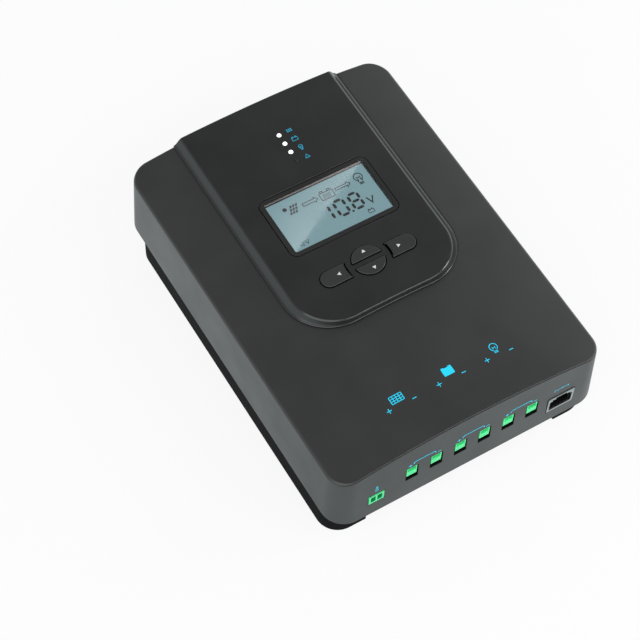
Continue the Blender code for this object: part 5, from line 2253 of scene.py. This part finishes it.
@dataclass
class DataJack:
    """Shielded data jack: metal shell, black insert and eight spring contacts."""

    finishes: FinishLibrary
    x: float = 0.0581
    shell_width: float = 0.0172
    shell_levels: Point = (0.0277, 0.0413)
    shell_face: float = -0.118612
    shell_depth: float = 0.017
    sheet: float = 0.0009
    mouth: Triple = (0.0146, 0.0292, 0.0380)
    latch: tuple[Point, ...] = ((0.0114, 0.0392), (0.0070, 0.0404))
    plug: Triple = (0.0119, 0.0297, 0.0367)
    plug_latch: tuple[Point, ...] = ((0.0062, 0.0385),)
    plug_depth: float = 0.0125
    contact_count: int = 8
    contact_pitch: float = 0.00102
    contact: Triple = (0.00018, -0.0001, 0.00012)
    spring: tuple[Point, ...] = ((0.0045, 0.0001), (0.0052, 0.0004), (0.0100, 0.0030),
                                 (0.0114, 0.0036), (0.0124, 0.0036))
    shell_corner: float = 0.0008
    notch_corner: float = 0.0003
    shell_edge: float = 0.0002
    insert_edge: float = 0.00015

    def stepped(self, wide: Triple, steps: Sequence[Point]) -> list[Point]:
        """XZ outline of an opening with the steps of a latch notch over it.

        Args:
            wide: Width, foot and top of the opening.
            steps: Width and top of each step.

        Returns:
            The outline in the frame.
        """
        level = wide[2]
        side = [(wide[0] / 2, wide[1]), (wide[0] / 2, level)]
        for width, top in steps:
            side += [(width / 2, level), (width / 2, top)]
            level = top
        ring = side + [(-x, z) for x, z in reversed(side)]
        return moved(softened(ring, self.notch_corner, 3), self.x, 0.0)

    def along_y(self, name: str, outline: Sequence[Point], start: float, end: float) -> Shell:
        """Shape of an XZ outline run along Y.

        Args:
            name: Name of the mesh.
            outline: The XZ outline.
            start: Where it starts.
            end: Where it ends.

        Returns:
            The mesh.
        """
        shell = Shell(name)
        shell.loft([upright(outline, y) for y in (end, start)])
        return shell

    def build_shield(self) -> None:
        """Make the folded metal shell."""
        half, (low, high) = self.shell_width / 2, self.shell_levels
        face, back = self.shell_face, self.shell_face + self.shell_depth
        outline = moved(rounded_rectangle(self.shell_width, high - low, self.shell_corner,
                                          (0.0, (low + high) / 2), 4), self.x, 0.0)
        shield = self.along_y("jack_shield", outline, face, back).to_object(
            self.finishes.get("jack"))
        combine(shield, Shell("room_cutter").box(
            (self.x - half + self.sheet, face + self.sheet, low + self.sheet),
            (self.x + half - self.sheet, back + PAST, high - self.sheet)))
        combine(shield, self.along_y("mouth_cutter", self.stepped(self.mouth, self.latch),
                                     face - PAST, face + 0.004))
        carry(polish(shield, self.shell_edge), "case", "data_jack_shell", slot=Slot.ZINC)

    def build_insert(self) -> None:
        """Make the black insert."""
        low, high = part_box("data_jack_insert")
        insert = Shell("jack_insert").box(low, high).to_object(self.finishes.get("gap"))
        combine(insert, self.along_y("plug_cutter", self.stepped(self.plug, self.plug_latch),
                                     low.y - PAST, low.y + self.plug_depth))
        carry(polish(insert, self.insert_edge), "case", "data_jack_insert", slot=Slot.BLACK)

    def build_contacts(self) -> None:
        """Make the row of spring contacts on the floor of the plug's room."""
        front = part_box("data_jack_insert")[0].y
        path = moved(self.spring, front, self.plug[1])
        shell = Shell("spring_contact")
        half, under, over = self.contact
        section = ((-half, under), (half, under), (half, over), (-half, over))
        shell.loft([upright(moved(section, 0.0, z), y) for y, z in path])
        contact = polish(shell.to_object(self.finishes.get("gold")))
        start = Vector((self.x - (self.contact_count - 1) * self.contact_pitch / 2, 0.0, 0.0))
        row = repeated(contact, "jack_contacts", Repeat.ROW, Count=self.contact_count,
                       Start=start, Step=Vector((self.contact_pitch, 0.0, 0.0)))
        carry(row, "case")

    def build(self) -> None:
        """Make the shell, the insert and the contacts."""
        self.build_shield()
        self.build_insert()
        self.build_contacts()


@dataclass
class HeatSink:
    """Finned base with corner pads, and the cover screws in its wells."""

    form: CaseForm
    finishes: FinishLibrary
    width: float = 0.1712
    length: float = 0.2207
    corner: float = 0.013
    top: float = 0.0177
    slot_top: float = 0.0127
    fins: int = 15
    fin: float = 0.003
    fin_end: float = 0.09705
    pad_x: float = 0.062
    pad_y: float = 0.08205
    plate: Quad = (0.16708, 0.23208, 0.018, 0.022)
    plate_corner: float = 0.01104
    neck: Triple = (0.02, 0.03, 0.005)
    standoff: Point = (0.003, 0.0255)
    screw_places: Point = (0.0775, 0.08905)
    well: Point = (0.0034, 0.010)
    screw_hole: float = 0.0018
    bore_tip: float = 0.0012
    edge: float = 0.00045
    bores: Quad = (0.0726, 0.09735, 0.0021, 0.008)
    screw_head: Triple = (0.0028, 0.0072, 0.0097)
    screw_shank: Point = (0.0015, 0.033)

    def slot_bank(self, first: int, count: int, end: float, name: str) -> Piece:
        """Helper shape of neighbouring slots between the fins.

        Args:
            first: Number of the first slot from the left.
            count: How many slots.
            end: Half length of the slots.
            name: Name of the helper.

        Returns:
            One mesh of all the slots.
        """
        pitch = (self.width - self.fin) / (self.fins - 1)
        shell = Shell("slot_helper")
        shell.box((0.0, -end, -2 * PAST), (pitch - self.fin, end, self.slot_top))
        start = Vector((-self.width / 2 + first * pitch + self.fin, self.form.base_y, 0.0))
        return repeated(shell.to_object(), name, Repeat.ROW, Count=count, Start=start,
                        Step=Vector((pitch, 0.0, 0.0)))

    def standoff_places(self) -> list[Point]:
        """Centres of the posts that carry the main board.

        Returns:
            The centres in XY.
        """
        board_low, board_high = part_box("main_board")
        x = board_high.x - 0.008
        rows = (board_low.y + 0.026, board_high.y - 0.008)
        return [(side * x, y) for y in rows for side in (-1, 1)]

    def build_sink(self) -> None:
        """Make the finned base."""
        shell = Shell("finned_base")
        middle = self.form.base_y
        shell.prism(rounded_rectangle(self.width, self.length, self.corner, (0.0, middle), 10), 0.0,
                    self.top)
        sink = shell.to_object(self.finishes.get("sink"))
        for first, count, end in ((2, 10, self.fin_end + 2 * PAST), (0, 2, self.pad_y),
                                  (12, 2, self.pad_y)):
            combine(sink, self.slot_bank(first, count, end, f"slots_{first}"))
        notches = Shell("notch_cutter")
        far = self.length / 2 + 2 * PAST
        for start, end in ((-far, -self.fin_end), (self.fin_end, far)):
            notches.box((-self.pad_x, middle + start, -2 * PAST),
                        (self.pad_x, middle + end, self.slot_top))
        combine(sink, notches)
        width, length, low, high = self.plate
        narrower, shorter, corner = self.neck
        neck = rounded_rectangle(width - narrower, length - shorter, corner)
        combine(sink, Shell("plate_helper").prism(neck, self.top - PAST, low + PAST), Join.FUSE)
        plate = rounded_rectangle(width, length, self.plate_corner, steps=8)
        combine(sink, Shell("plate_helper").prism(plate, low, high), Join.FUSE)
        posts = Shell("standoff_helper")
        radius, post_top = self.standoff
        for x, y in self.standoff_places():
            posts.turned([(0.0, high - PAST), (radius, high - PAST), (radius, post_top),
                          (0.0, post_top)], Vector((x, y, 0.0)), steps=24)
        combine(sink, posts, Join.FUSE)
        holes = Shell("well_cutter")
        x, y, radius, depth = self.bores
        well, well_depth = self.well
        for foot, pad in zip(four_corners(*self.screw_places, middle),
                             four_corners(x, y, middle)):
            holes.turned([(0.0, -PAST), (well, -PAST), (well, well_depth),
                          (self.screw_hole, well_depth), (self.screw_hole, high + PAST),
                          (0.0, high + PAST)], foot)
            holes.turned([(0.0, -PAST), (radius, -PAST), (radius, depth),
                          (0.0, depth + self.bore_tip)], pad, steps=24)
        combine(sink, holes)
        carry(polish(sink, self.edge), "case", "heatsink", slot=Slot.SINK)

    def build_screws(self) -> None:
        """Make the four cover screws from one, on a grid."""
        radius, low, high = self.screw_head
        shank, tip = self.screw_shank
        profile = [(0.0, low + 0.0012), (0.0011, low + 0.0012), (0.0012, low),
                   (radius - 0.0005, low), (radius, low + 0.0006), (radius, high), (shank, high)]
        profile += thread(shank, 0.84, high + 0.001, tip - 0.001 - high - 0.001, 22)
        profile += [(shank, tip - 0.001), (shank * 0.6, tip), (0.0, tip)]
        shell = Shell("cover_screw")
        shell.turned(profile, Vector((0.0, self.form.base_y, 0.0)), steps=24)
        screw = polish(shell.to_object(self.finishes.get("zinc")))
        made = repeated(screw, "cover_screws", Repeat.GRID, Span_X=2 * self.screw_places[0],
                        Span_Y=2 * self.screw_places[1])
        carry(made, "case", *(f"cover_screw_{index}" for index in range(1, 5)), slot=Slot.ZINC)

    def build(self) -> None:
        """Make the base and the screws."""
        self.build_sink()
        self.build_screws()


@dataclass
class CoverMarks:
    """Printed signs on the cover's top, its terminal face and the display panel."""

    form: CaseForm
    finishes: FinishLibrary
    pair_pitch: float = 0.0308
    first_pair: float = -0.0308

    def print_top(self, shell: Shell) -> None:
        """Print the signs over the three pairs of terminals.

        Args:
            shell: Mesh that the signs are added to.
        """
        printer = SymbolPrinter(shell, TopSurface(self.form.crown), line=0.00044, film=0.00006)
        printer.solar_frame((-0.03104, -0.0872), 0.0074, 0.0045, 4, 3)
        printer.battery((0.0013, -0.0872), 0.0064, 0.0047, True)
        printer.bulb((0.0310, -0.0863), 0.0023, 0.9)
        for centre in (-0.0304, 0.0007, 0.0313):
            printer.plus((centre - 0.0078, -0.0918), 0.0030)
            printer.minus((centre + 0.0077, -0.0919), 0.0026)

    def print_front(self, shell: Shell) -> None:
        """Print the polarity signs and brackets over the wire ports.

        Args:
            shell: Mesh that the signs are added to.
        """
        printer = SymbolPrinter(shell, FrontSurface(self.form), line=0.0004, film=0.00006)
        for index in range(3):
            x = self.first_pair + index * self.pair_pitch
            printer.plus((x - 0.0091, 0.0493), 0.0021)
            printer.minus((x + 0.0091, 0.0493), 0.0021)
            printer.path([(x - 0.0068, 0.0496), (x - 0.0068, 0.0507), (x - 0.0058, 0.0515),
                          (x + 0.0058, 0.0515), (x + 0.0068, 0.0507), (x + 0.0068, 0.0496)])
        ring = arc((-0.0605, 0.0419), 0.0008, 130, 410, 14)
        printer.path([(-0.06005, 0.0455)] + list(reversed(ring)) + [(-0.06095, 0.0455)],
                     closed=True, line=0.0003)
        printer.path([(0.0530, 0.0468), (0.0530, 0.0479), (0.0620, 0.0479), (0.0620, 0.0468)],
                     line=0.0003)
        printer.path([(0.0575, 0.0479), (0.0575, 0.0490)], line=0.0003)

    def print_panel(self, shell: Shell) -> None:
        """Print the dim signs beside the indicator lights.

        Args:
            shell: Mesh that the signs are added to.
        """
        printer = SymbolPrinter(shell, TopSurface(self.form.panel), line=0.00035, slot=1)
        printer.solar_cells((0.0067, 0.0903), 0.0036, 0.0024, 3, 2, 0.0, 0.00035)
        printer.battery((0.0066, 0.0834), 0.0034, 0.0022, False)
        printer.bulb((0.0067, 0.0773), 0.0012)
        printer.triangle((0.0066, 0.0694), 0.0016, 90.0, filled=False)

    def build(self) -> None:
        """Make the printed signs and hand them over."""
        shell = Shell("printed_signs")
        self.print_top(shell)
        self.print_front(shell)
        self.print_panel(shell)
        # The cyan and blue inks glow: painted light.
        signs = shell.to_object(*self.finishes.some("cyan", "blue"))
        carry(polish(signs), "case")


@dataclass
class InnerParts:
    """Finishes of the solids inside the case, which keep their own shape."""

    finishes: FinishLibrary
    dressed: dict[str, str] = field(default_factory=lambda: {
        "main_board": "board", "display_board": "board", "inductor": "winding",
        "capacitor": "sleeve", "power_transistor": "epoxy", "thermal_sheet": "pad",
        "ribbon_cable": "ribbon", "lcd_backlight": "ivory", "switch": "epoxy",
        "plunger": "ivory", "clamp_plate": "zinc",
    })

    def build(self) -> None:
        """Give each inner solid its finish."""
        for name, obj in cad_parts.items():
            for start, finish in self.dressed.items():
                if name.startswith(start):
                    obj.data.materials.clear()
                    obj.data.materials.append(self.finishes.get(finish))
                    LOG.info("%s dressed as %s", name, finish)


@dataclass
class Studio:
    """Pale floor, soft light and the camera at the photograph's angle."""

    lens: float = 111.942
    sensor: float = 36.0
    position: Triple = (-0.350913, -0.494153, 0.986826)
    azimuth: float = -33.4428
    elevation: float = 58.5757
    roll: float = 3.1638
    floor_size: float = 6.0
    glare_edge: tuple[Point, Point] = ((0.02923, 0.05042), (-0.02377, 0.0213))
    glare_level: float = 0.0711
    glare_height: float = 0.95
    glare_width: float = 0.052
    glare_radiance: float = 1.75
    floor_glow: float = 0.88
    aim: Triple = (0.0, 0.0, 0.04)

    def axes(self) -> tuple[Vector, Vector, Vector]:
        """Right, up and back directions of the camera.

        Returns:
            The three directions.
        """
        a, e, r = (math.radians(v) for v in (self.azimuth, self.elevation, self.roll))
        right = Vector((math.cos(a), math.sin(a), 0.0))
        up = Vector((-math.sin(a) * math.sin(e), math.cos(a) * math.sin(e), math.cos(e)))
        back = Vector((math.sin(a) * math.cos(e), -math.cos(a) * math.cos(e), math.sin(e)))
        return (right * math.cos(r) + up * math.sin(r), up * math.cos(r) - right * math.sin(r),
                back)

    def build_camera(self) -> None:
        """Set the camera where the photograph was taken."""
        data = bpy.data.cameras.new("photo_camera")
        data.lens = self.lens
        data.sensor_width = self.sensor
        data.clip_start = 0.01
        camera = linked("photo_camera", data)
        turn = Matrix(self.axes()).transposed().to_4x4()
        camera.matrix_world = Matrix.Translation(self.position) @ turn
        bpy.context.scene.camera = camera

    def build_floor(self) -> None:
        """Make the pale floor, white to the camera, cooler and fading forwards in reflections."""
        half = self.floor_size / 2
        mesh = bpy.data.meshes.new("studio_floor")
        mesh.from_pydata([(-half, -half, 0), (half, -half, 0), (half, half, 0), (-half, half, 0)],
                         [], [(0, 1, 2, 3)])
        floor = linked("studio_floor", mesh)
        item, graph, shader = new_material("studio_floor")
        graph.dress(shader, Base_Color=(0.93, 0.93, 0.93), Roughness=0.9, Specular_IOR_Level=0.1)
        seen = graph.add("ShaderNodeLightPath").outputs
        share = graph.math("MAXIMUM", graph.math("MAXIMUM", seen["Is Camera Ray"],
                                                 seen["Is Glossy Ray"]),
                           seen["Is Transmission Ray"])
        glow = graph.add("ShaderNodeEmission")
        across, along, _ = graph.axes(graph.place())
        level = graph.span(graph.math("ADD", across, along), -0.19, -0.02, 0.0, 1.0)
        tint = graph.blend(level, (0.69, 0.765, 0.76), (0.92, 1.0, 1.0))
        graph.feed(glow.inputs["Color"], graph.blend(seen["Is Camera Ray"], tint,
                                                     (1.0, 1.0, 1.0)))
        mix = graph.add("ShaderNodeMixShader")
        graph.feed(mix.inputs[0], graph.math("MULTIPLY", share, self.floor_glow))
        graph.feed(mix.inputs[1], shader.outputs[0])
        graph.feed(mix.inputs[2], glow.outputs[0])
        graph.feed(item.node_tree.nodes["Material Output"].inputs["Surface"], mix.outputs[0])
        mesh.materials.append(item)

    def build_world(self) -> None:
        """Light from all round, brighter near the horizon and on the right."""
        world = bpy.data.worlds.new("studio")
        world.use_nodes = True
        bpy.context.scene.world = world
        graph = Graph(world.node_tree)
        back = world.node_tree.nodes["Background"]
        across, _, up = graph.axes(graph.node("ShaderNodeTexCoord", "Generated"))
        level = graph.blend(graph.span(across, -1.0, 1.0, 0.0, 1.0), (0.80, 0.85, 0.85),
                            (1.10, 1.17, 1.17))
        height = graph.span(up, 0.1, 0.75, 0.0, 1.0)
        graph.feed(back.inputs["Color"], graph.blend(height, level, (0.34, 0.34, 0.34)))

    def area(self, name: str, position: Vector, target: Vector, size: Point,
             power: float) -> Piece:
        """Add an area light.

        Args:
            name: Name of the light.
            position: Where it stands.
            target: Where it looks.
            size: Its two sides.
            power: Its power in watts.

        Returns:
            The light's object.
        """
        data = bpy.data.lights.new(name, "AREA")
        data.shape = "RECTANGLE"
        data.size, data.size_y = size
        data.energy = power
        light = linked(name, data)
        light.location = position
        light.rotation_euler = (target - position).to_track_quat("-Z", "Y").to_euler()
        light.visible_camera = False
        return light

    def build_glare(self) -> None:
        """Hang the light whose edge falls across the window as a slanting glare."""
        eye = Vector(self.position)
        eye.z = 2 * self.glare_level - eye.z
        ends = []
        for x, y in self.glare_edge:
            spot = Vector((x, y, self.glare_level))
            ends.append(eye + (spot - eye) * ((self.glare_height - eye.z) / (spot.z - eye.z)))
        along = (ends[0] - ends[1]).normalized()
        across = Vector((0.0, 0.0, 1.0)).cross(along)
        length = (ends[0] - ends[1]).length * 1.7
        middle = (ends[0] + ends[1]) / 2 + across * self.glare_width / 2
        power = math.pi * length * self.glare_width * self.glare_radiance
        light = self.area("window_glare", middle, middle - Vector((0, 0, 1)),
                          (length, self.glare_width), power)
        light.data.use_nodes = True
        graph = Graph(light.data.node_tree)
        share = graph.axes(graph.node("ShaderNodeNewGeometry", "Parametric"))[1]
        graph.feed(light.data.node_tree.nodes["Emission"].inputs["Strength"],
                   graph.span(share, 0.0, 1.0, 1.0, 0.0))
        turn = Matrix((along, across, Vector((0.0, 0.0, 1.0)))).transposed().to_4x4()
        light.matrix_world = Matrix.Translation(middle) @ turn

    def build(self) -> None:
        """Set the floor, the lights and the camera."""
        bpy.context.scene.view_settings.view_transform = "Standard"
        self.build_camera()
        self.build_floor()
        self.build_world()
        aim = Vector(self.aim)
        self.area("key_light", Vector((-1.3, -0.9, 1.3)), aim, (2.2, 2.2), 18.0)
        self.area("fill_light", Vector((1.4, -0.5, 1.0)), aim, (0.45, 0.45), 6.0)
        self.area("right_strip", Vector((1.6, 0.85, 0.6)), aim, (1.2, 0.5), 1.2)
        self.area("front_strip", Vector((0.45, -1.05, 1.1)), aim, (1.2, 0.25), 5.0)
        self.build_glare()


def main() -> None:
    """Build the controller's pieces and the studio."""
    logging.basicConfig(level=logging.INFO, format="%(message)s")
    form = CaseForm()
    finishes = FinishLibrary()
    keys = KeyGroup(form, finishes)
    lights = IndicatorLights(form, finishes)
    panel = DisplayPanel(form, finishes, keys, lights)
    builds: list[Build] = [
        Studio(),
        HeatSink(form, finishes),
        TopCover(form, finishes, panel),
        panel,
        keys,
        lights,
        Display(finishes),
        WireTerminals(finishes),
        SensorSocket(finishes),
        DataJack(finishes),
        CoverMarks(form, finishes),
        InnerParts(finishes),
    ]
    for item in builds:
        LOG.info("building %s", type(item).__name__)
        item.build()


if __name__ == "__main__":
    main()
